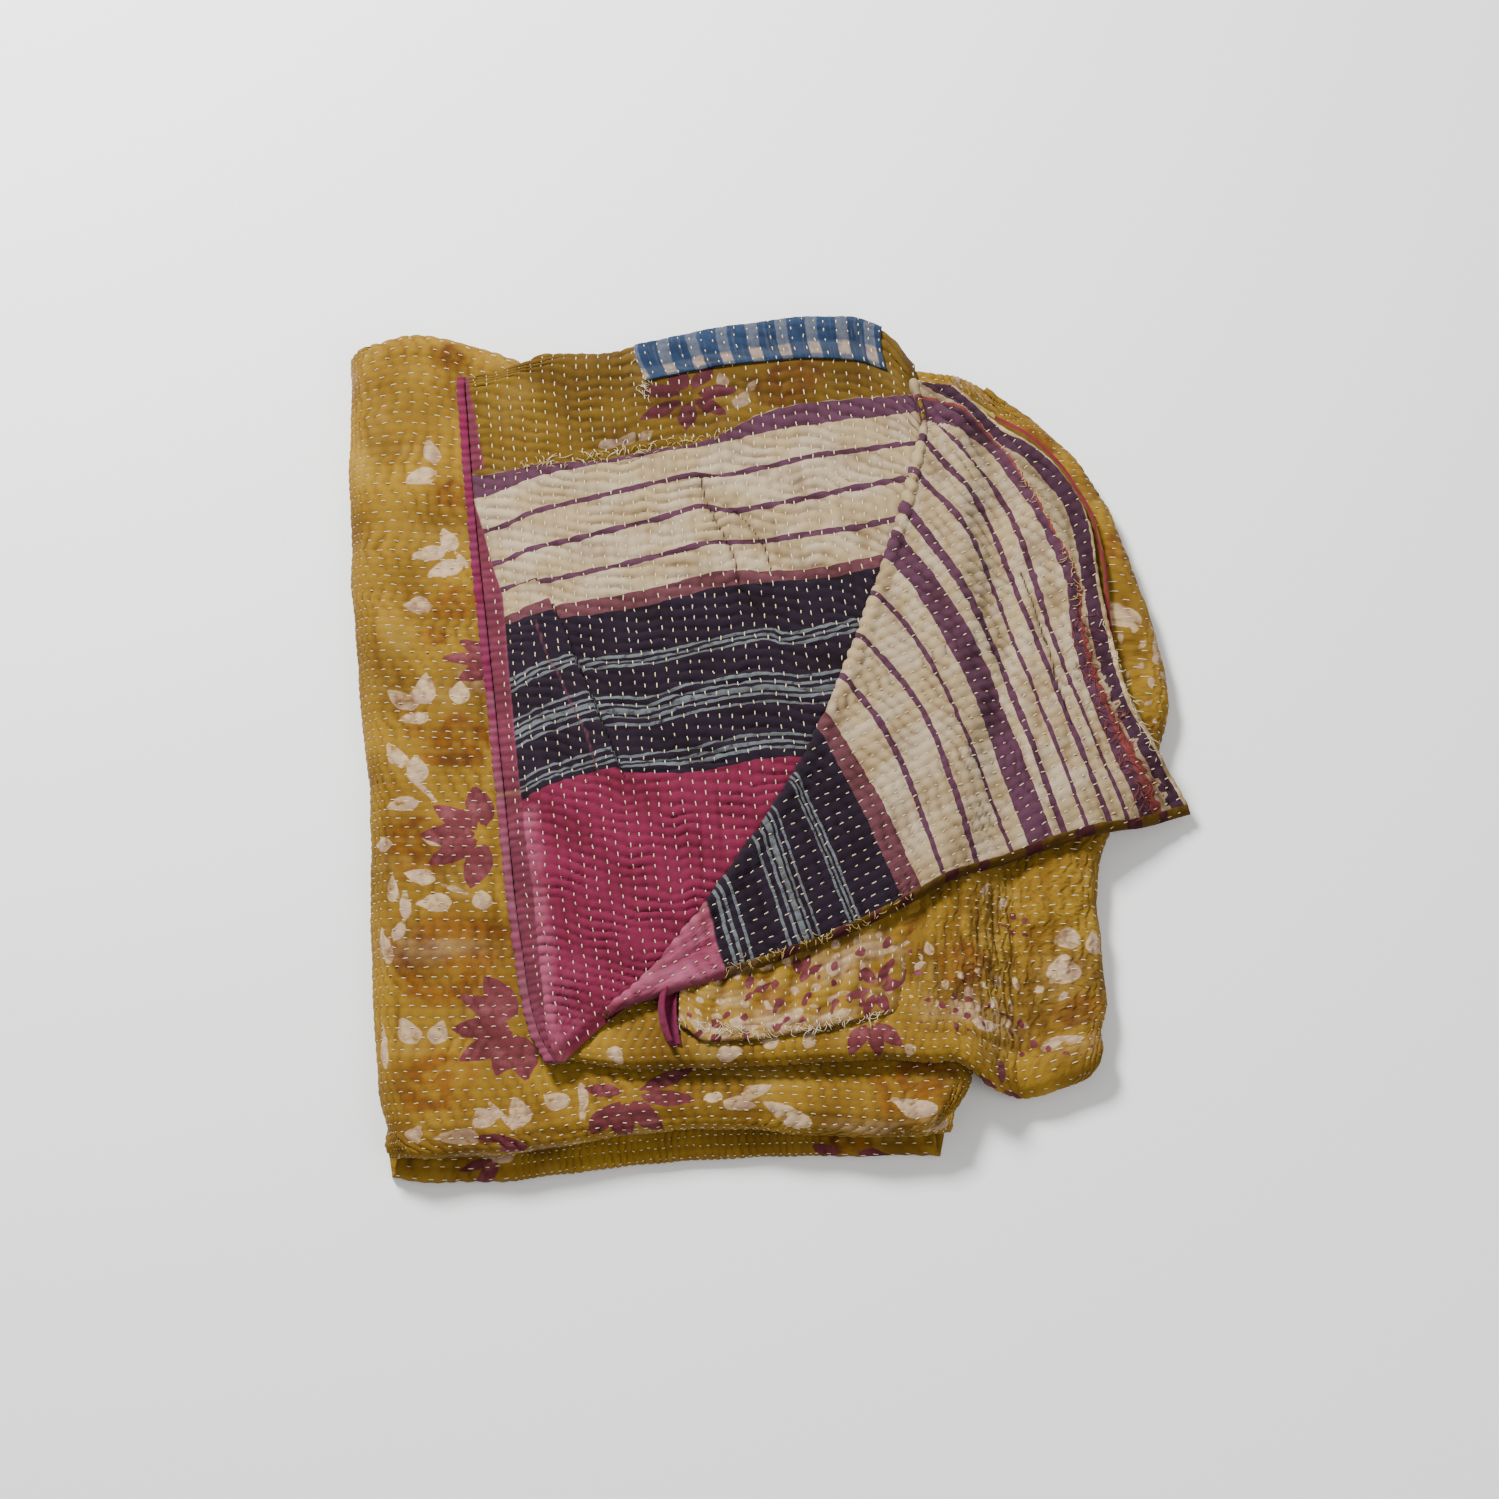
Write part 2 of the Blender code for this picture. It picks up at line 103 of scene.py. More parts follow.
def look_up(table, key):
    """The second column of a table at a value of its first, between rows by straight lines."""
    if key <= table[0][0]:
        return table[0][1]
    for (k0, v0), (k1, v1) in zip(table, table[1:]):
        if key <= k1:
            return v0 + (v1 - v0) * (key - k0) / (k1 - k0)
    return table[-1][1]


def along(points, t):
    """The point at fraction t of a line through these points, by length."""
    steps = [math.dist(p, q) for p, q in zip(points, points[1:])]
    left = t * sum(steps)
    for (p, q), step in zip(zip(points, points[1:]), steps):
        if left <= step:
            return tuple(a + (b - a) * left / step for a, b in zip(p, q))
        left -= step
    return tuple(points[-1])


def ease(value, start, end):
    """0 before start, 1 after end, and smooth between."""
    t = min(1.0, max(0.0, (value - start) / (end - start)))
    return t * t * (3 - 2 * t)


def mix(a, b, t):
    return a + (b - a) * t


def hump(x, y, middle_x, middle_y, half_x, half_y, height):
    return height * math.exp(-((x - middle_x) / half_x) ** 2 - ((y - middle_y) / half_y) ** 2)


# Heights of the leaves' middles, mm

def rumple(x, y):
    """The long unevenness that all the upper leaves share."""
    return 1.3 * math.sin(x / 62 + y / 160) + 1.0 * math.sin(y / 75 - x / 190 + 1.0)


def lower_top(x, y):
    """The leaf that shows at the left and in front."""
    swell = 7.0 * ease(-y, 235, 330)
    side = 3.5 * (1 - ease(x, -330, -240))
    return GROUND + 3 * PITCH + 4.5 + swell + side + rumple(x, y)


def middle_under(x, y):
    """On the lower bundle, then down to the surface past its right end."""
    on_bundle = lower_top(x, y) + PITCH
    return mix(on_bundle, GROUND, ease(x, 176, 222))


def middle_over(x, y):
    """The leaf whose rounded fold shows in front of the turned corner."""
    front = 7.0 * ease(-y, 200, 278) * ease(x, -146, -70)
    right = 16.0 * ease(x, 184, 240) - 3.0 * ease(x, 250, 330)
    return middle_under(x, y) + PITCH + front * (1 - ease(x, 180, 240)) + right


def top_leaf(x, y):
    """The striped leaf: on the middle leaves, and down on the lower bundle along its bound hem."""
    edge = look_up(MIDDLE_LEFT, y)
    covered = ease(x, edge - 50, edge - 16)
    high = middle_over(x, y) + PITCH
    low = lower_top(x, y) + PITCH
    return mix(low, high, covered)


def turned_corner(x, y):
    """The corner that lies over the top leaf, and hangs past the middle leaves at the far right."""
    over = top_leaf(x, y) + PITCH + hump(x, y, 60, -190, 110, 45, 4.0)
    rim = look_up(MIDDLE_RIGHT, y)
    return mix(over, 11.0, ease(x, rim - 8, rim + 46))


# The accordion: five leaves of the lower and middle bundles and the folds between them

COLUMNS = 24
LEFT_CURL = 5          # columns of the rounded left side
RIGHT_CURL = 19        # column where the rounded right side starts
PAST_END = 13          # column of the middle leaves at the end of the lower bundle
ON_SURFACE = 18        # column of the middle leaves where they reach the surface
UPPER_FOLD_Y = 342     # how far ahead of the origin each front fold is before its unevenness
GROUND_FOLD_Y = 364
ROWS_Y = (-278, -255, -225, -185, -135, -80, -20, 45, 115, 190, 260, 310, 332, 350)


def lower_x(column, y, inset):
    left = look_up(LOWER_LEFT, y) + inset
    right = look_up(LOWER_RIGHT, y) - inset
    return mix(left, right, column / COLUMNS)


def lower_ends(x, y, front):
    """Moves a point's y so that the leaf ends on the bundle's uneven front and rear."""
    rear = look_up(LOWER_REAR, x) - ROWS_Y[-1] - 6
    ahead = look_up(front, x) + (UPPER_FOLD_Y if front is UPPER_FRONT_FOLD else GROUND_FOLD_Y)
    return y + rear * ease(y, 190, ROWS_Y[-1]) + ahead * ease(-y, 200, 330)


def inner_leaf(height):
    """A plain leaf of the lower bundle, inside its rounded sides."""
    def at(column, y, front=UPPER_FRONT_FOLD):
        x = lower_x(column, y, 21 - 12 * ease(-y, 300, 330))
        return x, lower_ends(x, y, front), height
    return at


def ground_leaf(column, y):
    x = lower_x(column, y, 24 - 19 * ease(-y, 312, 345))
    return x, lower_ends(x, y, GROUND_FRONT_FOLD), GROUND


def first_leaf(column, y):
    return inner_leaf(GROUND + PITCH)(column, y, GROUND_FRONT_FOLD)


def lower_top_leaf(column, y):
    """Its sides round down to the surface, and open towards the front fold."""
    left, right = look_up(LOWER_LEFT, y), look_up(LOWER_RIGHT, y)
    closing = ease(y, -332, -285)
    high = lower_top(left + 12, y) if column < LEFT_CURL else lower_top(right - 12, y)
    radius = (high - GROUND) / 2
    if column < LEFT_CURL:
        turn = math.pi * (1 - column / LEFT_CURL)
        round_x = left + CLOTH / 2 + radius * (1 - math.sin(turn))
        flat_x = mix(left + 5, left + CLOTH / 2 + radius, column / LEFT_CURL)
    elif column > RIGHT_CURL:
        turn = math.pi * (column - RIGHT_CURL) / (COLUMNS - RIGHT_CURL)
        round_x = right - CLOTH / 2 - radius * (1 - math.sin(turn))
        flat_x = mix(right - CLOTH / 2 - radius, right - 6, (column - RIGHT_CURL) / (COLUMNS - RIGHT_CURL))
    else:
        t = (column - LEFT_CURL) / (RIGHT_CURL - LEFT_CURL)
        x = mix(left + CLOTH / 2 + radius, right - CLOTH / 2 - radius, t)
        return x, lower_ends(x, y, UPPER_FRONT_FOLD), lower_top(x, y)
    x = mix(flat_x, round_x, closing)
    round_z = GROUND + radius * (1 + math.cos(turn))
    droop = 5.0 * math.sin(turn / 2) ** 2
    z = mix(lower_top(x, y) - droop, round_z, closing)
    return x, lower_ends(x, y, UPPER_FRONT_FOLD), z


def middle_ends(x, y):
    rear = look_up(MIDDLE_REAR, x) - ROWS_Y[-1] - 3
    ahead = look_up(MIDDLE_FRONT, x) + 292
    return y + rear * ease(y, 230, ROWS_Y[-1]) + ahead * ease(-y, 200, 270)


def middle_x(column, y, right):
    left = look_up(MIDDLE_LEFT, y)
    end = min(168, right - 44)
    down = min(228, right - 12)
    if column <= PAST_END:
        return mix(left, end, column / PAST_END)
    if column <= ON_SURFACE:
        return mix(end, down, (column - PAST_END) / (ON_SURFACE - PAST_END))
    return mix(down, right, (column - ON_SURFACE) / (COLUMNS - ON_SURFACE))


def middle_under_leaf(column, y):
    x = middle_x(column, y, look_up(MIDDLE_RIGHT, y) - 24)
    seam = (PITCH - 3.0) * ease(y, 315, ROWS_Y[-1]) * (1 - ease(x, 150, 176))
    return x, middle_ends(x, y), middle_under(x, y) - seam


def middle_over_leaf(column, y):
    """Its right side rounds down to the surface."""
    right = look_up(MIDDLE_RIGHT, y)
    curl = ON_SURFACE + 1
    high = middle_over(right - 12, y)
    low = middle_under(right - 24, y)
    radius = (high - low) / 2
    flat_end = right - CLOTH / 2 - radius
    if column <= curl:
        x = flat_end if column == curl else middle_x(column, y, flat_end + 4)
        return x, middle_ends(x, y), middle_over(x, y)
    t = (column - curl) / (COLUMNS - curl)
    turn = math.pi * t
    closing = ease(y, ROWS_Y[0], ROWS_Y[2]) * (1 - ease(y, 260, 332))
    x = flat_end + mix((right - 3 - flat_end) * t, radius * math.sin(turn), closing)
    z = mix(high - 3.0 * t * t, low + radius * (1 + math.cos(turn)), closing)
    return x, middle_ends(x, y), z


def leaf_rows(leaf, ys):
    return [lambda column, y=y: leaf(column, y) for y in ys]


def fold_rows(lower, upper, y, bulge, count):
    """Rows round a fold from the end of one leaf to the end of the next; bulge is + at the rear."""
    def row(angle):
        def at(column):
            p, q = lower(column, y), upper(column, y)
            middle = [(a + b) / 2 for a, b in zip(p, q)]
            half = [(b - a) / 2 for a, b in zip(p, q)]
            point = [m - math.cos(angle) * h for m, h in zip(middle, half)]
            point[1] += math.copysign(min(abs(bulge), 1.15 * abs(half[2])), bulge) * math.sin(angle)
            return tuple(point)
        return at
    return [row(math.pi * n / (count + 1)) for n in range(1, count + 1)]


def rear_roll(leaf):
    """Rows that round a leaf's rear end down, but for its rounded sides, which run straight out."""
    count, radius = 3, 9.0

    def row(n):
        def at(column):
            x, y, z = leaf(column, ROWS_Y[-1])
            reach = 0.9 * ease(x, -332, -300) * (1 - ease(x, 130, 155))
            turn = math.pi * reach * n / count
            y += radius * math.sin(turn) + 2.0 * n * (1 - reach)
            return x, y, z - (z - REAR_LOW) / 2 * (1 - math.cos(turn))
        return at
    return [row(n) for n in range(1, count + 1)]


def lower_rows():
    """The lower bundle: four leaves, back and forth, from the surface up."""
    rear = ROWS_Y[-1]
    second = inner_leaf(GROUND + 2 * PITCH)
    rows = leaf_rows(ground_leaf, (rear - 4, 190, -80, -250, -358))
    rows += fold_rows(ground_leaf, first_leaf, -358, -4.0, 3)
    rows += leaf_rows(first_leaf, (-358, -250, 0, 200, rear - 8))
    rows += fold_rows(first_leaf, second, rear - 8, 3.5, 3)
    rows += leaf_rows(second, (rear - 8, 200, 0, -200, -330))
    rows += fold_rows(second, lower_top_leaf, -330, -12.0, 4)
    rows += leaf_rows(lower_top_leaf, (-330, -312, -294) + ROWS_Y)
    rows += rear_roll(lower_top_leaf)
    return rows


def middle_rows():
    """The two leaves on it, from the rear to their front fold and back."""
    rows = leaf_rows(middle_under_leaf, ROWS_Y[::-1])
    rows += fold_rows(middle_under_leaf, middle_over_leaf, ROWS_Y[0], -11.0, 4)
    rows += leaf_rows(middle_over_leaf, ROWS_Y)
    return rows


# The top leaf, the turned corner and the two loose hems under it

TOP_COLUMNS, TOP_ROLL = 17, 4
TOP_LEVELS = tuple((y - ROWS_Y[0]) / (ROWS_Y[-1] - ROWS_Y[0]) for y in ROWS_Y[:-2]) + (0.965, 1.0)
TOP_ROWS = len(TOP_LEVELS) - 1
REAR_RADIUS = 13.0
TURN_COLUMNS, TURN_ROWS, TURN_UNDER = 14, 15, 2        # the last: columns that roll under at the fold
INNER_ACROSS, INNER_ALONG = 4, 16
FLAP_ACROSS, FLAP_ALONG = 10, 4
ROLL_AROUND, ROLL_ALONG = 10, 8
PATCH_COLUMNS, PATCH_ROWS = (6.95, 15.9), (11, 15)     # what the patch covers of the top leaf's net
PATCH_STEPS = 9
# Rows of the nets between which a leaf shows
LOWER_SEEN_ROW = 18            # in the leaf under the lower bundle's top leaf
GROUND_FOLD_ROWS = (3, 9)      # round the front fold on the surface
MIDDLE_SEEN_ROW = 13           # where the middle leaves' front fold starts


def binding_width(y):
    return min(BINDING_WIDTH, 0.45 * (look_up(TOP_RIGHT, y) - look_up(HEM, y)))


def top_frame(u, row):
    """How far back a row of the top leaf is, and how far down its rear fold has rolled there."""
    rear_x = mix(TOP_REAR[0][0], TOP_REAR[-1][0], u)
    rolled = ease(rear_x, -205, -120)
    start = HEM[0][0] + 3
    end = look_up(TOP_REAR, rear_x) - CLOTH / 2 - mix(10, REAR_RADIUS, rolled)
    y = mix(start, end, TOP_LEVELS[min(row, TOP_ROWS)])
    past = max(0, row - TOP_ROWS)
    turn = math.pi * rolled * past / TOP_ROLL
    return y, REAR_RADIUS * math.sin(turn) + 2.5 * (1 - rolled) * past, 0.5 * (1 - math.cos(turn))


def top_leaf_point(column, row):
    """From the corner at the front to the rear fold, which rolls down behind the pile."""
    u = column / TOP_COLUMNS
    y, back, down = top_frame(u, row)
    x = mix(look_up(HEM, y) + binding_width(y) + BINDING_GAP, look_up(TOP_RIGHT, y), u)
    z = top_leaf(x, y)
    return x, y + back, z - (z - REAR_LOW) * down


# The binding's section, from under the hem round its edge and onto it: across, up from the cloth's middle
WRAP = ((5.5, -2.5), (2.2, -2.5), (0.2, -1.0), (0.5, 0.7), (2.6, 1.4), (BINDING_WIDTH, 1.5))


def binding_point(column, row):
    """The bound edge: a strip that closes the top leaf's hem side, wrapped round its edge."""
    y, back, down = top_frame(0, row)
    across, up = WRAP[column]
    x = look_up(HEM, y) + across
    return x, y + back, top_leaf(x, y) + up


def patch_point(column, row):
    """The sewn-on patch, over the top leaf's rear fold."""
    across = column / PATCH_STEPS
    if row == 0:
        inset = 0.7 - 0.36 * across * across
        return tuple(mix(a, b, inset) for a, b in zip(patch_point(column, 1e-9), patch_point(column, 1)))
    row = round(row)
    c, r = mix(PATCH_COLUMNS[0] - 0.24 * min(row, 2), PATCH_COLUMNS[1], across), PATCH_ROWS[0] + row
    here = top_leaf_point(c, r)
    across = [b - a for a, b in zip(top_leaf_point(c - 1, r), top_leaf_point(c + 1, r))]
    back = [b - a for a, b in zip(top_leaf_point(c, r - 1), top_leaf_point(c, r + 1))]
    out = (across[1] * back[2] - across[2] * back[1],
           across[2] * back[0] - across[0] * back[2],
           across[0] * back[1] - across[1] * back[0])
    rise = (CLOTH / 2 + SEAT + PATCH_THICK / 2 + 0.15) / math.hypot(*out)
    return tuple(p + rise * n for p, n in zip(here, out))


def turned_corner_point(column, row):
    """Spread between its four sides; its fold side rolls under, down to the top leaf."""
    v = row / TURN_ROWS
    u = max(0, column - TURN_UNDER) / (TURN_COLUMNS - TURN_UNDER)
    left, right = along(TURN_FOLD, v), along(TURN_OUTER, v)
    near, far = along((TURN_FOLD[0], TURN_OUTER[0]), u), along(TURN_HEM, u)
    corners = (TURN_FOLD[0], TURN_OUTER[0], TURN_FOLD[-1], TURN_OUTER[-1])
    flat = []
    for axis in (0, 1):
        sides = mix(left[axis], right[axis], u) + mix(near[axis], far[axis], v)
        bent = mix(mix(corners[0][axis], corners[1][axis], u), mix(corners[2][axis], corners[3][axis], u), v)
        flat.append(sides - bent)
    x, y = flat
    z = turned_corner(x, y)
    if column < TURN_UNDER:
        width = min(7.0, 0.2 * math.dist(left, right)) * ease(v, 0.02, 0.16)
        x += width * (0.9 if column == 0 else -0.25)
        z = mix(top_leaf(x, y) + 0.7, z, 0.0 if column == 0 else 0.5)
    return x, y, z


def inner_hem_point(column, row):
    """A strip of the leaf under the turned corner, along the rolled right side, its raised edge in sight."""
    x0, y0 = along(INNER_EDGE, row / INNER_ALONG)
    inward = math.atan2(20 - y0, 120 - x0)

    def inside(step):
        return x0 + step * math.cos(inward), y0 + step * math.sin(inward)
    step = 13.0 * (INNER_ACROSS - column)
    raised = 3.5 if column == INNER_ACROSS else 0.0
    z = middle_over(*inside(step)) + PITCH - 0.9 + raised
    return *inside(step + 11.0 + 6.0 * ease(-y0, -215, -120)), z


def loose_hem_point(column, row):
    """The loose hem in front, under the turned corner's; its right end sinks into the leaf below."""
    u = column / FLAP_ACROSS
    x = mix(FLAP_FRONT[0][0], FLAP_FRONT[-1][0], u)
    y = look_up(FLAP_FRONT, x) + (68 + 30 * u) * row / FLAP_ALONG
    sunk = 3.8 * ease(u, 0.75, 1.0) + 5.0 * ease(u, 0.66, 1.0)
    return x, y, middle_over(x, y) + PITCH + 0.5 - sunk


def rolled_edge_point(column, row):
    """The bound end of the loose hem, curled up on itself and open towards it."""
    turn = math.radians(mix(112, 330, column / ROLL_AROUND))
    t = row / ROLL_ALONG
    y = mix(-275, -214, t)
    radius = 3.2 + 4.2 * math.sin(math.pi * (0.12 + 0.8 * t))
    x = -57 - 8.0 * math.sin(math.pi * (0.08 + 0.8 * t))
    z = middle_over(x, y) + PITCH + radius - 3.0
    return x + radius * math.cos(turn), y, z + radius * math.sin(turn)


# Smooth surfaces over cloth coordinates

def spacing(net, axis):
    """How far along the cloth each line of a net's points is, mm."""
    steps = np.linalg.norm(np.diff(net, axis=axis), axis=2).mean(axis=1 - axis)
    return np.concatenate(([0.0], np.cumsum(np.maximum(steps, 0.5))))


def carry(knots, at):
    """Rows of weights that turn values at the knots into smooth values at other places."""
    n, gap = len(knots), np.diff(knots)
    slope = np.zeros((n, n))
    slope[0, :2] = -1 / gap[0], 1 / gap[0]
    slope[-1, -2:] = -1 / gap[-1], 1 / gap[-1]
    for i in range(1, n - 1):
        before, after = gap[i - 1], gap[i]
        slope[i, i + 1] = before / after / (before + after)
        slope[i, i - 1] = -after / before / (before + after)
        slope[i, i] = -slope[i, i + 1] - slope[i, i - 1]
    cell = np.clip(np.searchsorted(knots, at, side="right") - 1, 0, n - 2)
    wide = gap[cell]
    s = (at - knots[cell]) / wide
    rows, each = np.zeros((len(at), n)), np.arange(len(at))
    rows[each, cell] = 2 * s ** 3 - 3 * s ** 2 + 1
    rows[each, cell + 1] = 3 * s ** 2 - 2 * s ** 3
    rows += ((s ** 3 - 2 * s ** 2 + s) * wide)[:, None] * slope[cell]
    return rows + ((s ** 3 - s ** 2) * wide)[:, None] * slope[cell + 1]


class Leaf:
    """A leaf's middle surface; c runs across it and r along it, in mm of cloth."""

    def __init__(self, across, deep, place, turned=False):
        rows = [[place(column, row) for column in range(across + 1)] for row in range(deep + 1)]
        self.net = np.array(rows[::-1] if turned else rows, float) - np.array(ORIGIN)
        self.across, self.along = spacing(self.net, 1), spacing(self.net, 0)
        self.width, self.length = self.across[-1], self.along[-1]

    def at(self, c, r):
        rows = carry(self.along, r) @ self.net.reshape(len(self.along), -1)
        return np.einsum("vc,vck->vk", carry(self.across, c), rows.reshape(len(c), -1, 3))

    def place(self, c, r):
        """Where these points are in the tables' own millimetres, seen from above."""
        x, y, _ = (self.at(c, r) + np.array(ORIGIN)).T
        return x, y

    def outward(self, c, r, step=0.6):
        aside = self.at(np.minimum(c + step, self.width), r) - self.at(np.maximum(c - step, 0), r)
        ahead = self.at(c, np.minimum(r + step, self.length)) - self.at(c, np.maximum(r - step, 0))
        out = np.cross(aside, ahead)
        return out / np.maximum(np.linalg.norm(out, axis=1), 1e-9)[:, None]


# Unevenness, creases and puckers

def waves(x, y, length, seed, count=7):
    """A smooth uneven field of about this wavelength, mostly between -1 and 1."""
    rng = np.random.default_rng(seed)
    turn, shift = rng.uniform(0, math.tau, (2, count))
    size = length * rng.uniform(0.7, 1.4, count)
    total = sum(np.sin(math.tau * (x * math.cos(t) + y * math.sin(t)) / s + p)
                for t, s, p in zip(turn, size, shift))
    return total / math.sqrt(count)


class Quilting:
    """Rows of running stitch: a runs across the rows and b along them, mm."""

    def __init__(self, row_gap, pitch, seed, shifts):
        rng = np.random.default_rng(seed)
        self.gap, self.pitch = row_gap, pitch
        self.rows = np.arange(-90, 480)
        self.phase = np.cumsum(rng.choice(shifts, len(self.rows)) + rng.normal(0, 0.05, len(self.rows)))
        self.rng = rng

    def pucker(self, a, b):
        """Ridges between the stitches, rounder on top than in their troughs, and a dip along each row."""
        shift = np.interp(a / self.gap, self.rows, self.phase)
        turn = math.pi * (b / self.pitch + shift + 0.16 * waves(a, b, 38, 8))
        swell = 0.8 + 0.4 * waves(a, b, 45, 5)
        return swell * (1.6 * np.abs(np.sin(turn)) ** 0.9 - 0.9) - 0.35 * np.cos(math.tau * a / self.gap) ** 3

    def places(self, a_range, b_range):
        """The middle of each stitch, with hand-made unevenness."""
        found = []
        for k in range(math.ceil(a_range[0] / self.gap), math.floor(a_range[1] / self.gap) + 1):
            shift = self.phase[np.searchsorted(self.rows, k)]
            first = math.ceil(b_range[0] / self.pitch + shift)
            last = math.floor(b_range[1] / self.pitch + shift)
            wander = self.rng.uniform(-1, 1, 3)
            for n in range(first, last + 1):
                b = (n - shift) * self.pitch
                drift = 0.12 * self.gap * (wander[0] * math.sin(b / 90 + 3 * wander[1]) + 0.5 * wander[2])
                found.append((k * self.gap + drift + self.rng.normal(0, 0.4), b + self.rng.normal(0, 0.6)))
        return np.array(found)


def to_line(x, y, line, first=0, last=1):
    """How far along a line (x0, y0, x1, y1) each point is, 0 to 1, and how far off it, mm."""
    x0, y0, x1, y1 = line
    dx, dy = x1 - x0, y1 - y0
    t = np.clip(((x - x0) * dx + (y - y0) * dy) / (dx * dx + dy * dy), first, last)
    return t, np.hypot(x - x0 - t * dx, y - y0 - t * dy)


def creases(x, y, table):
    """Troughs along short lines, or ridges where the depth is negative, mm."""
    total = np.zeros(len(x))
    for *line, half_width, depth in table:
        t, off = to_line(x, y, line)
        total -= depth * np.exp(-(off / half_width) ** 2) * np.sin(math.pi * np.clip(t, 0.06, 0.94)) ** 0.5
    return total


def dark_creases(x, y, table):
    """Inside the narrow painted shadow along a line of the table where above 0, mm."""
    return np.maximum(OUTSIDE, 1.0 - np.min([to_line(x, y, row[:4])[1] for row in table], axis=0))


# Stripes

# Routes of the patchwork's seams and stripes: place across the bands, then points (x, y)
TOP_ROUTES = (
    (0, (-237, 264), (-119, 267), (-81, 276), (-40, 284), (14, 318), (64, 330), (130, 335)),
    (28, (-236, 236), (-175, 254), (-119, 265), (-81, 274), (-40, 280), (26, 297), (130, 314)),
    (59, (-225, 205), (-158, 224), (-84, 243), (-48, 252), (-20, 251), (63, 272), (130, 282)),
    (92, (-218, 172), (-145, 191), (-72, 211), (-40, 221), (-11, 216), (63, 232), (129, 248)),
    (122, (-207, 142), (-132, 159), (-59, 178), (-30, 186), (1, 186), (74, 197), (128, 210)),
    (150, (-206, 114), (-131, 130), (-83, 139), (-47, 150), (-22, 156), (38, 155), (118, 172)),
    (160, (-205, 111), (-150, 114), (-107, 121), (-59, 132), (-22, 142), (62, 150), (111, 161)),
    (210, (-198, 51), (-137, 69), (-84, 74), (-41, 85), (12, 97), (34, 92), (93, 107)),
    (258, (-192, 8), (-124, 25), (-86, 25), (-50, 37), (12, 47), (45, 44), (70, 47)),
    (307, (-188, -41), (-123, -24), (-90, -21), (-43, -13), (-10, -5), (23, -1), (40, -2)),
    (322, (-186, -53), (-144, -40), (-107, -31), (-61, -33), (-20, -26), (12, -19), (36, -18)),
)
TURNED_ROUTES = (
    (322, (-34, -153), (-28, -180), (-21, -206)),
    (307, (-22, -134), (-11, -168), (-2, -203)),
    (258, (14, -73), (28, -122), (46, -181)),
    (210, (34, -33), (62, -100), (85, -165)),
    (160, (58, 3), (92, -68), (122, -143)),
    (147, (68, 19), (111, -59), (142, -136)),
    (122, (75, 59), (108, 13), (130, -36), (161, -136)),
    (92, (90, 94), (121, 59), (154, 0), (188, -122)),
    (59, (107, 131), (132, 103), (167, 34), (219, -108)),
    (28, (118, 165), (145, 127), (188, 33), (232, -103)),
    (6, (130, 186), (161, 141), (205, 51), (252, -97)),
    (-8, (137, 212), (178, 147), (219, 51), (262, -94)),
    (-35, (149, 244), (190, 188), (236, 56), (281, -88)),
    (-62, (158, 275), (204, 209), (247, 79), (302, -86)),
    (-90, (186, 272), (224, 218), (257, 91), (316, -81)),
    (-115, (150, 300), (180, 294), (205, 281), (226, 251), (244, 217), (260, 179), (270, 147), (273, 89),
     (293, 14), (323, -67)),
    (-135, (150, 325), (181, 316), (207, 294), (227, 266), (246, 227), (263, 189), (279, 147), (279, 100),
     (295, 34), (332, -59)),
)
RED_WEFT = ((-179, 109), (-169, 76), (-157, 53), (-148, 30), (-136, 6), (-130, -16), (-124, -33))
TUCK = ((-166, 124), (-154, 99), (-140, 58), (-131, 38), (-122, 12), (-112, -16), (-104, -36))
TUCK_STEP = 8.0        # how much of the stripes the tuck swallows, mm


def flowing(points, parts=4):
    """The same line through more points, rounded at its corners."""
    ends = np.array([points[0], *points, points[-1]], float)
    ends[0], ends[-1] = 2 * ends[1] - ends[2], 2 * ends[-2] - ends[-3]
    line = []
    for p, q, r, s in zip(ends, ends[1:], ends[2:], ends[3:]):
        for t in np.arange(parts) / parts:
            line.append(0.5 * (2 * q + (r - p) * t + (2 * p - 5 * q + 4 * r - s) * t * t
                               + (3 * q - p - 3 * r + s) * t ** 3))
    return [tuple(point) for point in line] + [tuple(points[-1])]


def off_route(x, y, points):
    """Signed distance from a route, + on its left."""
    best, side = np.full(len(x), 1e9), np.zeros(len(x))
    last = len(points) - 2
    for i, ((x0, y0), (x1, y1)) in enumerate(zip(points, points[1:])):
        _, off = to_line(x, y, (x0, y0, x1, y1), 0 if i else -np.inf, 1 if i < last else np.inf)
        near = off < best
        best = np.where(near, off, best)
        side = np.where(near, np.sign((x1 - x0) * (y - y0) - (y1 - y0) * (x - x0)), side)
    return best * side


def band_at(x, y, routes, past):
    """Where points lie across the bands, mm; past is the side of a route that comes after it."""
    off = [past * off_route(x, y, flowing(route[1:])) for route in routes]
    step = math.copysign(1, routes[1][0] - routes[0][0])
    place = routes[0][0] + step * off[0]
    for k, route in enumerate(routes):
        if k + 1 < len(routes):
            share = np.clip(off[k] / np.maximum(off[k] - np.minimum(off[k + 1], 0), 1e-6), 0, 1)
            here = route[0] + (routes[k + 1][0] - route[0]) * share
        else:
            here = route[0] + step * off[k]
        place = np.where(off[k] >= 0, here, place)
    return place


# The floral print

def petal(x, y, root_x, root_y, turn, length, half_width, blunt):
    """Signed distance inside one pointed petal or leaf, + inside."""
    along_it = (x - root_x) * math.cos(turn) + (y - root_y) * math.sin(turn)
    aside = np.abs(-(x - root_x) * math.sin(turn) + (y - root_y) * math.cos(turn))
    t = np.clip(along_it / length, 0, 1)
    half = half_width * np.sin(math.pi * t ** (0.8 * blunt)) ** 0.85
    outside = np.maximum(-along_it, along_it - length)
    return np.where(outside > 0, -np.hypot(outside, aside), half - aside)


PRINT_SEED = 3
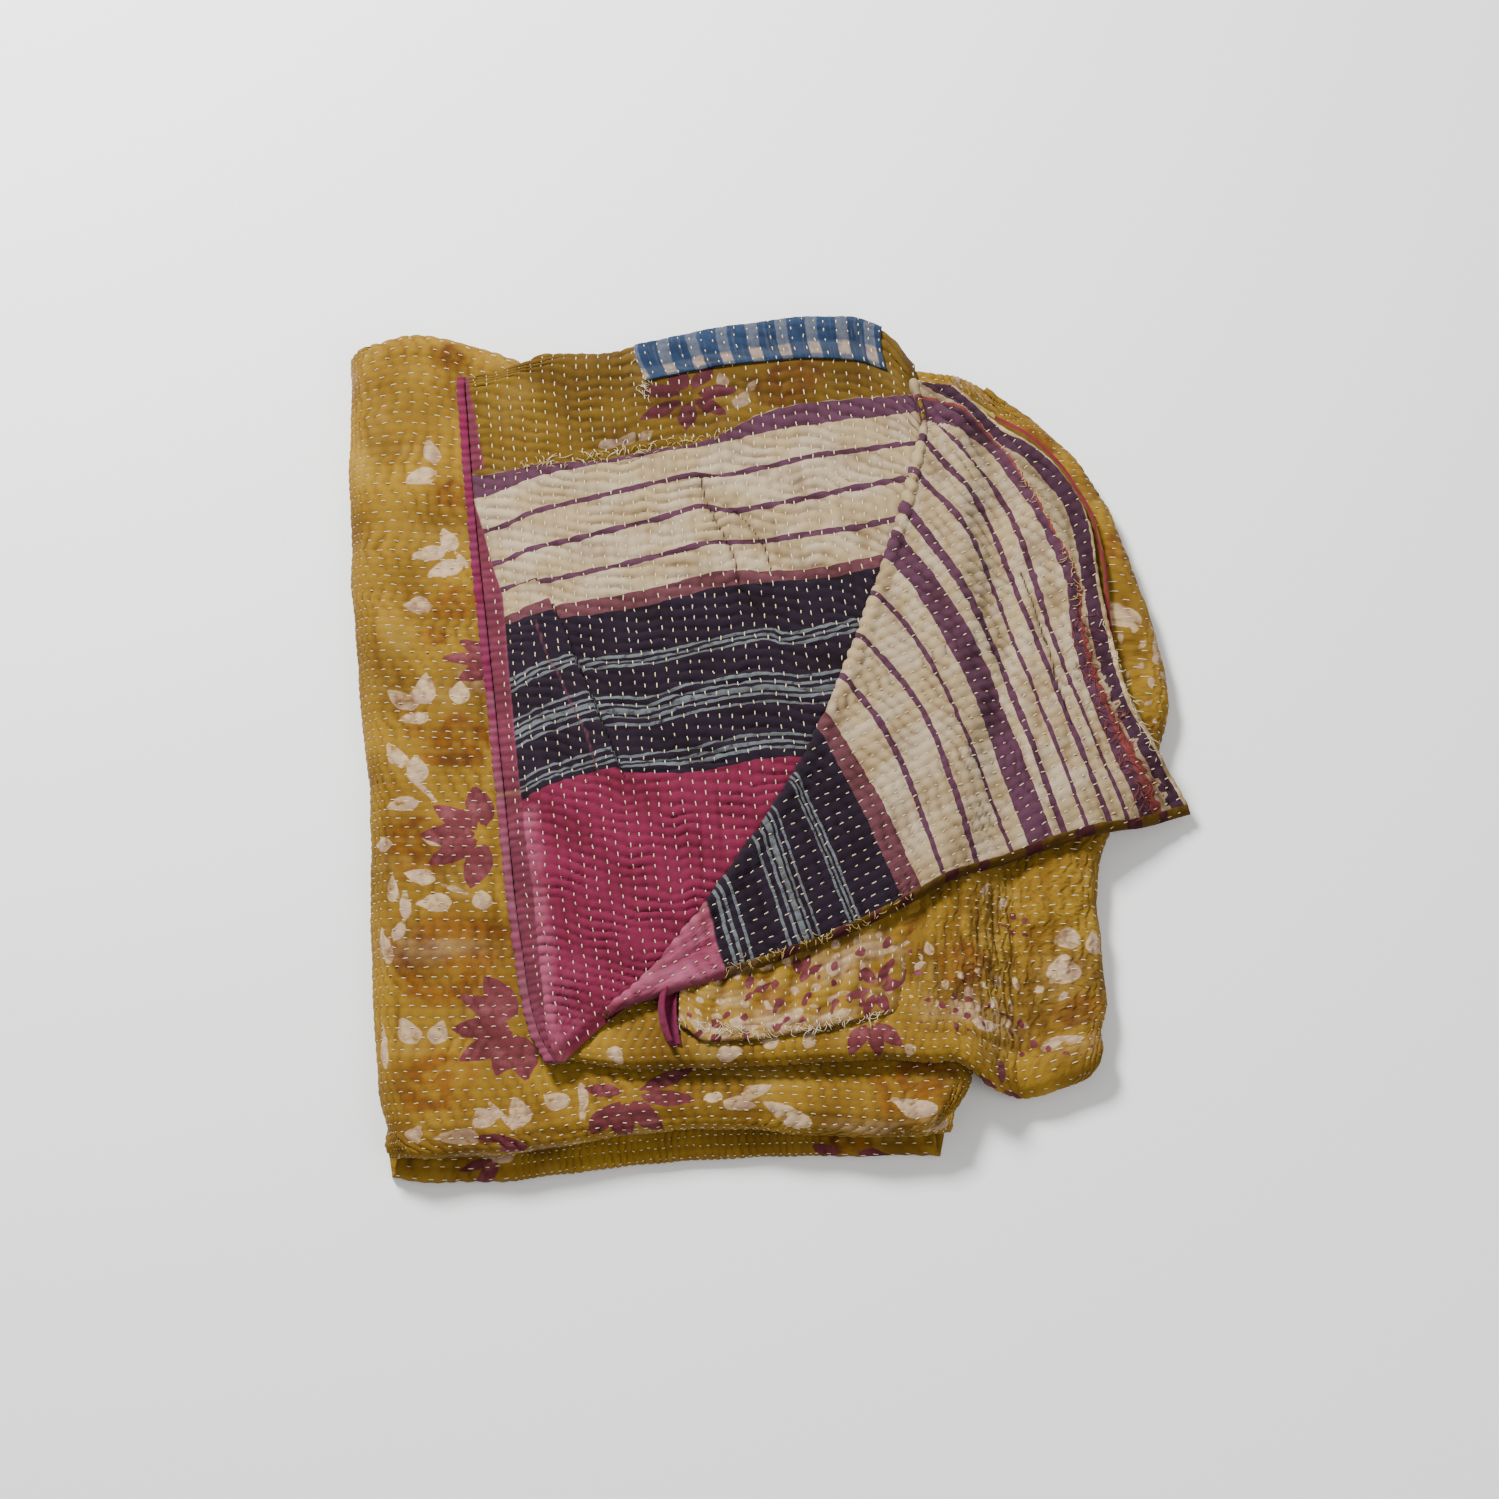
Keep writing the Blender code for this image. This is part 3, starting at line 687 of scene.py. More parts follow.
# Flowers of maroon petals: middle c, r, length of a petal, petals, first petal's turn and last's, degrees
# Leaves: root c, r, turn in degrees, length, half width
# Roses: middle c, r, radius
PRINTS = {
    "lower": {
        "stars": ((132, 2446, 50, 5, 104, 258), (152, 2280, 52, 6, 114, 270), (219, 2207, 46, 5, 225, 385),
                  (219, 2207, 36, 1, 150, 150), (150, 2180, 34, 2, 168, 192), (60, 738, 26, 2, 205, 250),
                  (446, 722, 25, 2, 170, 350), (464, 2230, 30, 2, 60, 125), (152, 2610, 40, 3, 150, 215)),
        "leaves": ((112, 2790, 105, 20, 5.8), (112, 2783, -149, 23, 6.7), (123, 2715, 109, 22, 5.8),
                   (118, 2715, -163, 24, 6.7), (128, 2704, -149, 27, 7.5), (107, 2661, -180, 18, 9.2),
                   (91, 2562, 133, 24, 7.5), (96, 2566, 83, 30, 7.5), (99, 2555, -166, 20, 5.8),
                   (119, 2567, 85, 23, 6.7), (81, 2506, 111, 25, 5.8), (90, 2494, 95, 24, 6.7),
                   (88, 2476, -161, 22, 6.7), (101, 2474, 125, 40, 2.1), (132, 2699, 120, 19, 2.1),
                   (71, 2437, -177, 21, 6.7), (104, 2438, 160, 17, 4.2), (98, 2405, 163, 20, 7.5),
                   (121, 2392, 153, 26, 2.1), (72, 2384, 90, 26, 4.2), (109, 2386, -174, 23, 8.3),
                   (129, 2380, 95, 17, 6.7), (80, 2369, 90, 27, 3.3), (68, 2331, 104, 34, 5.8),
                   (72, 2351, 67, 19, 4.2), (81, 2267, 109, 22, 7.5), (93, 2267, 69, 20, 6.7),
                   (55, 2248, 88, 37, 5.0), (127, 2197, 117, 21, 8.3), (150, 2195, 106, 30, 7.5),
                   (146, 2191, 126, 43, 2.1), (178, 2207, 139, 21, 7.5), (187, 2227, -84, 42, 3.3),
                   (83, 2193, 168, 11, 8.3), (120, 2190, -178, 32, 8.3), (294, 2203, 33, 23, 6.7),
                   (284, 2196, -6, 23, 6.7), (282, 2199, 176, 13, 5.8), (352, 2175, 151, 50, 6.7),
                   (426, 2190, 151, 40, 6.7), (484, 2181, -164, 33, 7.5), (70, 738, 175, 22, 6.0)),
        "roses": ((114, 2531, 28), (84, 2444, 21), (111, 2338, 45), (91, 2238, 28), (121, 2766, 13),
                  (121, 2664, 18), (107, 2630, 10), (407, 2220, 28), (441, 724, 18), (120, 2882, 12),
                  (88, 2414, 13))},
    "middle": {
        "stars": ((247, 706, 40, 3, 246, 318), (356, 672, 24, 3, -10, 190)),
        "leaves": ((35, 690, -57, 20, 6.7), (122, 679, 11, 23, 6.7), (170, 684, 126, 19, 6.7),
                   (195, 682, 72, 17, 5.8), (284, 677, 143, 11, 5.0), (406, 780, 86, 21, 6.7),
                   (403, 750, 88, 26, 8.3), (421, 776, 86, 22, 5.8), (390, 705, -15, 23, 5.8),
                   (352, 1320, 142, 14, 8.0), (412, 1080, 96, 25, 7.5), (428, 1050, 90, 24, 8.0),
                   (436, 1098, 80, 20, 7.0), (300, 770, 120, 16, 4.0), (330, 712, 20, 26, 4.5)),
        "roses": ((326, 761, 22), (412, 726, 15), (425, 1160, 16), (404, 1270, 18))},
    "top": {
        "stars": ((144, 646, 37, 7, 0, 308),),
        "leaves": ((173, 626, 55, 17, 5.8), (169, 648, 99, 15, 4.2), (98, 609, 53, 14, 5.8), (83, 612, 5, 18, 5.0),
                   (110, 611, 46, 12, 4.2), (183, 640, 60, 14, 3.0)),
        "roses": ((207, 642, 22), (221, 650, 14))},
    "flap": {
        "stars": ((166, 22, 26, 6, -60, 240), (60, 44, 24, 2, 20, 80), (30, 12, 12, 2, 10, 60),
                  (104, 50, 22, 3, 20, 110)),
        "leaves": ((12, 8, 20, 26, 6.0), (45, 18, -20, 24, 6.0), (128, 44, 70, 20, 6.0), (84, 12, 10, 22, 5.0),
                   (196, 30, 40, 20, 6.0)),
        "roses": ((80, 34, 14), (204, 60, 18))},
}


def printed(c, r, motifs):
    """Signed distances inside the maroon petals and the pale leaves, and how deep the roses' dye is."""
    stars, leaves, roses = np.full(len(c), OUTSIDE), np.full(len(c), OUTSIDE), np.zeros(len(c))
    rng = np.random.default_rng(PRINT_SEED)
    for middle_c, middle_r, length, count, first, last in motifs["stars"]:
        near = np.flatnonzero(np.hypot(c - middle_c, r - middle_r) < 1.5 * length)
        root = 0.16 * length
        for n in range(count):
            turn = math.radians(mix(first, last, n / max(1, count - 1)) + rng.uniform(-6, 6))
            reach = length * rng.uniform(0.85, 1.1)
            found = petal(c[near], r[near], middle_c + root * math.cos(turn), middle_r + root * math.sin(turn),
                          turn, reach - root, 0.17 * length * rng.uniform(0.85, 1.15), 1.15)
            stars[near] = np.maximum(stars[near], found)
    for root_c, root_r, turn, length, half_width in motifs["leaves"]:
        near = np.flatnonzero(np.hypot(c - root_c, r - root_r) < 1.3 * length)
        found = petal(c[near], r[near], root_c, root_r, math.radians(turn), length, half_width, 0.85)
        leaves[near] = np.maximum(leaves[near], found)
    for middle_c, middle_r, radius in motifs["roses"]:
        far = np.hypot(c - middle_c, r - middle_r) / radius
        turn = np.arctan2(r - middle_r, c - middle_c)
        whorl = 0.62 + 0.38 * np.sin(7.5 * far + 2.0 * turn + 1.2 * np.sin(3 * turn + middle_c))
        edge = np.clip((1.12 + 0.1 * np.sin(5 * turn) - far) * 3, 0, 1)
        roses = np.maximum(roses, edge * whorl)
    return {"star": stars, "leaf": leaves, "rose": roses}


def blobs(c, r, table):
    """Soft patches: middle c, r, half sizes, strength."""
    total = np.zeros(len(c))
    for middle_c, middle_r, half_c, half_r, strength in table:
        total += strength * np.exp(-((c - middle_c) / half_c) ** 2 - ((r - middle_r) / half_r) ** 2)
    return np.clip(total, 0, 1)


# Pieces

laid = {}              # what is known of each sheet after it is laid


def new_object(name, data):
    made = bpy.data.objects.new(name, data)
    bpy.context.scene.collection.objects.link(made)
    return made


def new_mesh(name, bm):
    """The mesh of a finished bmesh."""
    mesh = bpy.data.meshes.new(name)
    bm.to_mesh(mesh)
    bm.free()
    return mesh


def positions(mesh):
    flat = np.empty(len(mesh.vertices) * 3)
    mesh.vertices.foreach_get("co", flat)
    return flat.reshape(-1, 3)


def grid(leaf, step, seen, cuts):
    """A flat grid for a leaf, 1 by 1, that is cut finely where it shows."""
    bm = bmesh.new()
    coarse = step * (cuts + 1) if seen else step
    across, deep = max(2, round(leaf.width / coarse)), max(2, round(leaf.length / coarse))
    bmesh.ops.create_grid(bm, x_segments=across, y_segments=deep, size=0.5)
    if seen:
        bm.faces.ensure_lookup_table()
        middles = np.array([face.calc_center_median()[:2] for face in bm.faces]) + 0.5
        c, r = middles[:, 0] * leaf.width, middles[:, 1] * leaf.length
        close = [face for face, shows in zip(bm.faces, seen(c, r, *leaf.place(c, r))) if shows]
        edges = list({edge for face in close for edge in face.edges})
        bmesh.ops.subdivide_edges(bm, edges=edges, cuts=cuts, use_grid_fill=True)
    return bm


def lay(name, leaf, step, relief, marks, finishes, thickness=CLOTH, seen=None, cuts=3):
    """A finely divided sheet on a leaf, never below the surface that the quilt lies on.

    seen says which of it shows, and the rest stays coarse.
    """
    mesh = new_mesh(name, grid(leaf, step, seen, cuts))
    flat = positions(mesh) + 0.5
    c, r = np.clip(flat[:, 0], 0, 1) * leaf.width, np.clip(flat[:, 1], 0, 1) * leaf.length
    middle, out = leaf.at(c, r), leaf.outward(c, r)
    x, y = middle[:, 0] + ORIGIN[0], middle[:, 1] + ORIGIN[1]
    raised = relief(c, r, x, y)
    points = middle + out * raised[:, None]
    points[:, 2] = np.maximum(points[:, 2], thickness / 2)
    points *= MM
    mesh.vertices.foreach_set("co", points.ravel())
    corner = np.empty(len(mesh.loops), int)
    mesh.loops.foreach_get("vertex_index", corner)
    mesh.uv_layers.new(name="cloth").data.foreach_set("uv", (np.stack((c, r), 1)[corner] * MM).ravel())
    # Painted shade: the colour darkens where the relief sinks, in the puckers' troughs and wherever the sheet is
    # pressed down.
    hollow_shade = {"hollow_shade": np.clip(0.4 - raised / 1.9, 0, 1)}
    for mark, values in (hollow_shade | marks(c, r, x, y)).items():
        mesh.attributes.new(mark, "FLOAT", "POINT").data.foreach_set("value", values)
    mesh.shade_smooth()
    for finish in finishes:
        mesh.materials.append(finish)
    piece = new_object(name, mesh)
    solid = piece.modifiers.new("Thickness", "SOLIDIFY")
    solid.thickness, solid.offset = thickness * MM, 0.0
    solid.use_quality_normals = True
    solid.material_offset = solid.material_offset_rim = len(finishes) - 1
    mesh.update()
    laid[name] = {"c": c, "r": r, "x": x, "y": y, "points": points, "out": out, "top": thickness / 2}
    return piece


FRAY_THREAD = 0.45     # thickness of a frayed thread, mm
STITCH_SPANS = 3       # straight parts of a stitch or a thread


def tree_of(u, v):
    """A search tree of points on a plane."""
    tree = kdtree.KDTree(len(u))
    for i, place in enumerate(zip(u, v)):
        tree.insert((*place, 0), i)
    tree.balance()
    return tree


def stitches(name, on, quilting, coordinates, shows, length, thread):
    """Running stitches on a laid sheet, at the quilting's places, where it shows."""
    sheet = laid[on]
    places = [sheet[key] for key in ("c", "r", "x", "y")]
    kept = np.flatnonzero(shows(*places))
    a, b = coordinates(*(values[kept] for values in places))
    out = sheet["out"][kept]
    points = sheet["points"][kept] / MM + out * sheet["top"]
    tree = tree_of(a, b)
    rng = np.random.default_rng(len(name))
    runs = []
    for u, v in quilting.places((a.min(), a.max()), (b.min(), b.max())):
        half = length / 2 * rng.uniform(0.75, 1.25)
        lean = rng.normal(0, 0.07)
        run = []
        for share, rise in ((-1, -0.7), (-0.5, 0.15), (0.5, 0.15), (1, -0.7)):
            near = tree.find_n((u + share * half * lean, v + share * half, 0), 4)
            if near[0][2] > 3.0:
                break
            weight = np.array([1 / (0.05 + far) for _, _, far in near])
            index = [i for _, i, _ in near]
            weight /= weight.sum()
            run.append(weight @ points[index] + rise * (weight @ out[index]))
        else:
            runs.append((run, out[index[0]]))
    return threads(name, runs, thread, THREADED)


def frays(name, on, path, count, length, finish, seed, lean, spread=2.5, thread=FRAY_THREAD):
    """Short curled thread ends along a line (x, y) on a laid sheet; lean is the way they point, in degrees."""
    sheet = laid[on]
    tree = tree_of(sheet["x"], sheet["y"])
    rng = np.random.default_rng(seed)
    runs = []
    for _ in range(count):
        x, y = np.array(along(path, rng.uniform(0, 1))) + rng.normal(0, spread, 2)
        turn = math.radians(lean + rng.normal(0, 38))
        step, bend = length * rng.uniform(0.5, 1.3) / STITCH_SPANS, rng.normal(0, 0.5)
        run = []
        for n in range(STITCH_SPANS + 1):
            near = [i for _, i, _ in tree.find_n((x, y, 0), 4)]
            best = max(near, key=lambda i: sheet["points"][i][2])
            surface = sheet["points"][best][2] / MM + sheet["top"] * sheet["out"][best][2]
            run.append(np.array((x - ORIGIN[0], y - ORIGIN[1], surface + 0.25 + 0.5 * (n in (1, 2)))))
            turn += bend
            x, y = x + step * math.cos(turn), y + step * math.sin(turn)
        runs.append((run, sheet["out"][best]))
    return threads(name, runs, thread, finish)


def unit(vector):
    return vector / max(np.linalg.norm(vector), 1e-9)


def threads(name, runs, thread, finish):
    """One short thread along each run of four points, all in one mesh."""
    bm = bmesh.new()
    bmesh.ops.create_cone(bm, cap_ends=True, segments=4, radius1=0.5, radius2=0.5, depth=1.0)
    lengthways = [edge for edge in bm.edges if abs(edge.verts[0].co.z - edge.verts[1].co.z) > 0.5]
    bmesh.ops.subdivide_edges(bm, edges=lengthways, cuts=STITCH_SPANS - 1)
    pattern = new_mesh(name, bm)
    piece = new_object(name, pattern)
    repeat = piece.modifiers.new("Repeat", "ARRAY")
    repeat.count = len(runs)
    repeat.use_relative_offset = False
    graph = bpy.context.evaluated_depsgraph_get()
    mesh = bpy.data.meshes.new_from_object(piece.evaluated_get(graph))
    piece.modifiers.clear()
    piece.data = mesh
    bpy.data.meshes.remove(pattern)
    mesh.name = name
    flat = positions(mesh).reshape(len(runs), -1, 3)
    placed = np.empty_like(flat)
    for i, (run, out) in enumerate(runs):
        run = np.array(run)
        spot = (flat[i, :, 2] + 0.5) * STITCH_SPANS
        low = np.clip(np.floor(spot).astype(int), 0, STITCH_SPANS - 1)
        share = (spot - low)[:, None]
        ahead = run[-1] - run[0]
        side = unit(np.cross(ahead, out))
        up = unit(np.cross(side, ahead))
        at_end = (low == 0) & (share[:, 0] < 0.5) | (spot > STITCH_SPANS - 0.5)
        thick = thread * np.where(at_end, 0.75, 1.0)[:, None]
        placed[i] = (run[low] * (1 - share) + run[np.minimum(low + 1, STITCH_SPANS)] * share
                     + thick * (flat[i, :, :1] * side + flat[i, :, 1:2] * up))
    mesh.vertices.foreach_set("co", (placed * MM).ravel())
    mesh.materials.append(finish)
    mesh.shade_smooth()
    mesh.update()
    return piece


# Finishes

def linear(red, green, blue):
    """A colour as seen on a screen, 0 to 255, as the shader takes it."""
    return tuple((c / 255 / 12.92 if c < 11 else ((c / 255 + 0.055) / 1.055) ** 2.4) for c in (red, green, blue))


OCHRE, OCHRE_DARK, OCHRE_PALE = linear(134, 103, 28), linear(108, 80, 22), linear(148, 122, 58)
RUST, RUST_DARK = linear(114, 74, 18), linear(94, 57, 18)
BLUSH, BLUSH_GREY = linear(178, 152, 118), linear(152, 126, 106)
MAROON, MAROON_PALE = linear(92, 42, 46), linear(114, 62, 66)
CREAM, TAN = linear(161, 145, 119), linear(148, 127, 91)
# The second colour here is cream darkened as painted shade, for the cream past the turned corner's frayed edge.
CREAM_EDGE, CREAM_IN_SHADE = linear(184, 162, 122), linear(140, 124, 96)
PURPLE, PURPLE_RED, PLUM = linear(74, 44, 60), linear(84, 48, 54), linear(58, 34, 48)
NAVY, NAVY_GREY = linear(28, 18, 30), linear(88, 94, 96)
MAGENTA, MAGENTA_FADED = linear(104, 28, 54), linear(146, 78, 100)
BINDING_DARK, BINDING_PALE = linear(108, 22, 58), linear(116, 52, 74)
BINDING_DULL, BINDING_TAN = linear(104, 48, 66), linear(150, 112, 96)
FRAYED_RED, YELLOW_GREEN, EDGE_RED = linear(112, 52, 50), linear(154, 140, 66), linear(114, 36, 50)
BLUE, BLUE_DARK, BLUE_PALE = linear(32, 50, 76), linear(22, 36, 58), linear(84, 88, 98)
BLUSH_BEIGE = linear(150, 130, 112)
THREAD_CREAM = linear(212, 198, 166)


class Finish:
    """A node material under construction."""

    def __init__(self, name, sheen=0.04):
        self.material = bpy.data.materials.new(name)
        self.material.use_nodes = True
        self.tree = self.material.node_tree
        self.shader = self.tree.nodes["Principled BSDF"]
        soft = {"Roughness": 0.95, "Specular IOR Level": 0.08, "Sheen Weight": sheen, "Sheen Roughness": 0.6}
        for socket, value in soft.items():
            self.shader.inputs[socket].default_value = value
        self.cloth = self.add("ShaderNodeUVMap", uv_map="cloth").outputs["UV"]

    def add(self, kind, inputs=None, **settings):
        made = self.tree.nodes.new(kind)
        for key, value in settings.items():
            setattr(made, key, value)
        for key, value in (inputs or {}).items():
            if isinstance(value, bpy.types.NodeSocket):
                self.tree.links.new(value, made.inputs[key])
            else:
                made.inputs[key].default_value = value
        return made

    def mark(self, name):
        return self.add("ShaderNodeAttribute", attribute_name=name).outputs["Fac"]

    def math(self, operation, *values, clamp=False):
        return self.add("ShaderNodeMath", dict(enumerate(values)), operation=operation, use_clamp=clamp).outputs[0]

    def noise(self, size_mm, detail=3.0, stretch=None):
        """Noise whose features are about this size, 0 to 1."""
        at = self.cloth
        if stretch:
            at = self.add("ShaderNodeMapping", {"Vector": at, "Scale": (*stretch, 1.0)}).outputs[0]
        inputs = {"Vector": at, "Scale": 1000 / size_mm / 2, "Detail": detail, "Roughness": 0.6}
        return self.add("ShaderNodeTexNoise", inputs).outputs["Fac"]

    def between(self, value, low, high):
        return self.add("ShaderNodeMapRange", {"Value": value, "From Min": low, "From Max": high},
                        interpolation_type="SMOOTHSTEP").outputs["Result"]

    def patches(self, size_mm, low, high, detail=3.0):
        """Where noise of this size is high, 0 to 1."""
        return self.between(self.noise(size_mm, detail), low, high)

    def times(self, first, second):
        return self.math("MULTIPLY", first, second)

    def inside(self, mark, wander=0.0, blur=0.5):
        """1 where a mark is above 0, with a soft edge that wanders."""
        return self.between(self.math("ADD", self.mark(mark), wander), -blur, blur)

    def mix(self, share, first, second, blend="MIX"):
        first, second = ((*colour, 1.0) if isinstance(colour, tuple) else colour for colour in (first, second))
        return self.add("ShaderNodeMix", {0: share, 6: first, 7: second}, data_type="RGBA",
                        blend_type=blend).outputs[2]

    def ramp(self, at, stops):
        """Bands of plain colour, each from its own place on; stops are (place 0 to 1, colour)."""
        made = self.add("ShaderNodeValToRGB", {"Fac": at})
        ramp = made.color_ramp
        ramp.interpolation = "CONSTANT"
        for index, (place, colour) in enumerate(stops):
            stop = ramp.elements[index] if index < 2 else ramp.elements.new(place)
            stop.position, stop.color = place, (*colour, 1.0)
        return made.outputs["Color"]

    def shade(self, share, colour, by):
        return self.mix(share, colour, by, "MULTIPLY")

    def close(self, colour, pleat=None):
        """Threads, fine wrinkles, soiling and painted shade in the puckers' hollows over a colour, then the shader.
        """
        grain, soil, fine = self.noise(0.9, 2.0), self.noise(70), self.noise(5)
        colour = self.shade(self.between(grain, 0.25, 0.75), colour, (1.08, 1.06, 1.04))
        colour = self.shade(self.times(self.between(soil, 0.5, 0.72), 0.22), colour, (0.72, 0.66, 0.6))
        colour = self.shade(self.times(self.between(fine, 0.45, 0.7), 0.22), colour, (0.8, 0.76, 0.72))
        # Painted shade in the puckers' troughs and the sheet's sunk places.
        colour = self.shade(self.times(self.mark("hollow_shade"), 0.9), colour, (0.5, 0.42, 0.36))
        height = self.math("ADD", self.times(fine, 0.7), self.times(grain, 0.35))
        if pleat:
            wave = {"Vector": self.cloth, "Scale": 50.0, "Distortion": 9.0, "Detail": 2.0, "Detail Scale": 1.6}
            folds = self.add("ShaderNodeTexWave", wave, bands_direction="X").outputs["Fac"]
            height = self.math("MULTIPLY_ADD", self.times(folds, pleat), 1.6, height)
        bump = self.add("ShaderNodeBump", {"Height": height, "Strength": 0.6, "Distance": 0.0014})
        self.tree.links.new(colour, self.shader.inputs["Base Color"])
        self.tree.links.new(bump.outputs["Normal"], self.shader.inputs["Normal"])
        return self.material


def print_colour(finish):
    """The worn floral print: ochre ground, rust roses, blush leaves and maroon petals."""
    wear = finish.math("MULTIPLY_ADD", finish.noise(3.5, 2.0), 1.6, -0.8)
    colour = finish.mix(finish.patches(60, 0.35, 0.65), OCHRE, OCHRE_DARK)
    colour = finish.mix(finish.times(finish.patches(24, 0.5, 0.75), 0.45), colour, OCHRE_PALE)
    rust = finish.mix(finish.patches(9, 0.4, 0.65), RUST, RUST_DARK)
    dye = finish.math("MULTIPLY", finish.times(finish.mark("rose"), 1.25), finish.patches(6, 0.1, 0.5), clamp=True)
    colour = finish.mix(dye, colour, rust)
    blush = finish.mix(finish.patches(7, 0.4, 0.65), BLUSH, BLUSH_GREY)
    colour = finish.mix(finish.times(finish.mark("fade"), finish.patches(12, 0.38, 0.6)), colour, blush)
    leaf = finish.times(finish.inside("leaf", wear), finish.patches(4.5, 0.28, 0.5))
    maroon = finish.mix(finish.patches(8, 0.45, 0.7), MAROON, MAROON_PALE)
    return finish.mix(finish.inside("star", wear, 0.4), finish.mix(leaf, colour, blush), maroon)


BAND_START, BAND_SPAN, MAGENTA_START = -200, 600, 322
# Where each band of the patchwork starts, mm, and its colour; a thin stripe is given by its middle below
BANDS = ((-200, YELLOW_GREEN), (-190, EDGE_RED), (-180, CREAM_EDGE), (-172.5, PLUM), (-160, CREAM_IN_SHADE),
         (-145, FRAYED_RED), (-135, PURPLE), (-115, CREAM), (-12, PURPLE), (-4, CREAM), (6, PURPLE), (28, CREAM),
         (147, PURPLE_RED), (160, NAVY), (MAGENTA_START, MAGENTA))
THIN_STRIPES, THIN_STRIPE = (-90, -62, -35, 59, 92, 122), 6.3
# Groups of pale lines on the navy: middle, how many, gap between them, width, mm
LINES = ((210, 3, 4.3, 2.0), (258, 5, 6.4, 2.9), (307, 4, 3.9, 1.9))


def share_of(place):
    """Where a place across the bands, mm, lies on the colour ramps."""
    return (place - BAND_START) / BAND_SPAN


def band_stops():
    """The bands and thin stripes of the patchwork, as a ramp's stops."""
    stops = list(BANDS)
    for middle in THIN_STRIPES:
        stops += [(middle - THIN_STRIPE / 2, PURPLE), (middle + THIN_STRIPE / 2, CREAM)]
    return [(share_of(start), colour) for start, colour in sorted(stops, key=lambda stop: stop[0])]


def line_stops():
    """White where a pale line lies on the navy, and black between, as a ramp's stops."""
    stops = [(0.0, (0, 0, 0))]
    for middle, count, gap, width in LINES:
        for n in range(count):
            start = middle + (n - (count - 1) / 2) * gap - width / 2
            stops += [(share_of(start), (1, 1, 1)), (share_of(start + width), (0, 0, 0))]
    return stops


def patchwork():
    """The side of joined strips; where 'print' is above 0 the floral print is sewn over it, in shade."""
    finish = Finish("patchwork_cotton")
    wobble = finish.math("MULTIPLY_ADD", finish.noise(9, 2.0), 2.4, -1.2)
    place = finish.math("ADD", finish.mark("band"), wobble)
    share = finish.math("DIVIDE", finish.math("SUBTRACT", place, BAND_START), BAND_SPAN)
    colour = finish.ramp(share, band_stops())
    lines = finish.times(finish.ramp(share, line_stops()), finish.patches(3, 0.2, 0.5, 2.0))
    colour = finish.mix(lines, colour, NAVY_GREY)
    weft = finish.times(finish.between(finish.mark("weft"), -0.7, 0.3), 0.6)
    colour = finish.mix(weft, colour, PURPLE_RED)
    # Painted shadow: a dark line along each of the sharp creases.
    colour = finish.shade(finish.inside("crease"), colour, (0.13, 0.1, 0.1))
    light = finish.add("ShaderNodeRGBToBW", {"Color": colour}).outputs[0]
    stained = finish.times(finish.patches(24, 0.44, 0.54, 2.0), finish.between(light, 0.24, 0.32))
    colour = finish.mix(stained, colour, TAN)
    faded = finish.times(finish.mark("fade"), finish.patches(15, 0.25, 0.6))
    on_magenta = finish.between(share, share_of(MAGENTA_START - 1), share_of(MAGENTA_START + 1))
    colour = finish.mix(finish.times(faded, on_magenta), colour, MAGENTA_FADED)
    shaded_print = finish.shade(1.0, print_colour(finish), (0.54, 0.54, 0.58))
    colour = finish.mix(finish.inside("print", wobble), colour, shaded_print)
    margin = finish.mix(finish.patches(30, 0.4, 0.6), BINDING_PALE, BINDING_DULL)
    margin = finish.mix(finish.mark("tan"), margin, BINDING_TAN)
    return finish.close(finish.mix(finish.between(finish.mark("margin"), -0.6, 0.4), colour, margin))


def floral():
    finish = Finish("ochre_floral_cotton")
    return finish.close(print_colour(finish), pleat=finish.mark("pleat"))


def bound():
    """The dark strip round the hem, paler where 'fade' is above 0 and tan where 'rose' is 1."""
    finish = Finish("magenta_binding_cotton")
    patchy = finish.patches(26, 0.35, 0.65)
    pale = finish.mix(finish.mark("rose"), finish.mix(patchy, BINDING_PALE, linear(116, 66, 82)), BINDING_TAN)
    dark = finish.mix(patchy, BINDING_DARK, linear(104, 38, 66))
    return finish.close(finish.mix(finish.inside("fade", blur=0.6), dark, pale))


def checked():
    """Blue, with broad pale bands, and paler still where two fainter ones cross them."""
    finish = Finish("blue_check_cotton")
    axes = finish.add("ShaderNodeSeparateXYZ", {"Vector": finish.cloth})

    def bands(axis, pitch, shift, share):
        run = finish.math("MULTIPLY_ADD", finish.noise(12, 2.0), 0.005, axes.outputs[axis])
        place = finish.math("FRACT", finish.math("DIVIDE", finish.math("ADD", run, shift), pitch))
        end = finish.math("SUBTRACT", 1.0, finish.between(place, share, share + 0.06))
        return finish.times(finish.between(place, 0.02, 0.07), end)
    threads_across = finish.between(finish.noise(1.6, 2.0, stretch=(1.0, 0.08)), 0.5, 0.7)
    worn = finish.patches(3.0, 0.25, 0.6, 2.0)
    upright, level = bands("X", 0.026, 0.005, 0.4), bands("Y", 0.05, 0.046, 0.24)
    colour = finish.mix(finish.patches(18, 0.4, 0.65), BLUE, BLUE_DARK)
    colour = finish.mix(finish.times(threads_across, 0.3), colour, BLUE_PALE)
    colour = finish.mix(finish.times(upright, finish.math("MULTIPLY_ADD", worn, 0.35, 0.4)), colour, BLUE_PALE)
    colour = finish.mix(finish.times(level, 0.2), colour, BLUE_PALE)
    crossing = finish.times(finish.times(upright, level), finish.math("MULTIPLY_ADD", worn, 0.5, 0.3))
    return finish.close(finish.mix(crossing, colour, BLUSH_BEIGE))


def thread_finish(name, colour):
    finish = Finish(name, sheen=0.0)
    finish.shader.inputs["Base Color"].default_value = (*colour, 1.0)
    return finish.material


# The quilt

FLORAL, PATCHED, BOUND, CHECKED = floral(), patchwork(), bound(), checked()
THREADED = thread_finish("cream_thread", THREAD_CREAM)
REDDISH = thread_finish("red_thread", linear(118, 62, 58))
YELLOWISH = thread_finish("ochre_thread", linear(190, 168, 104))

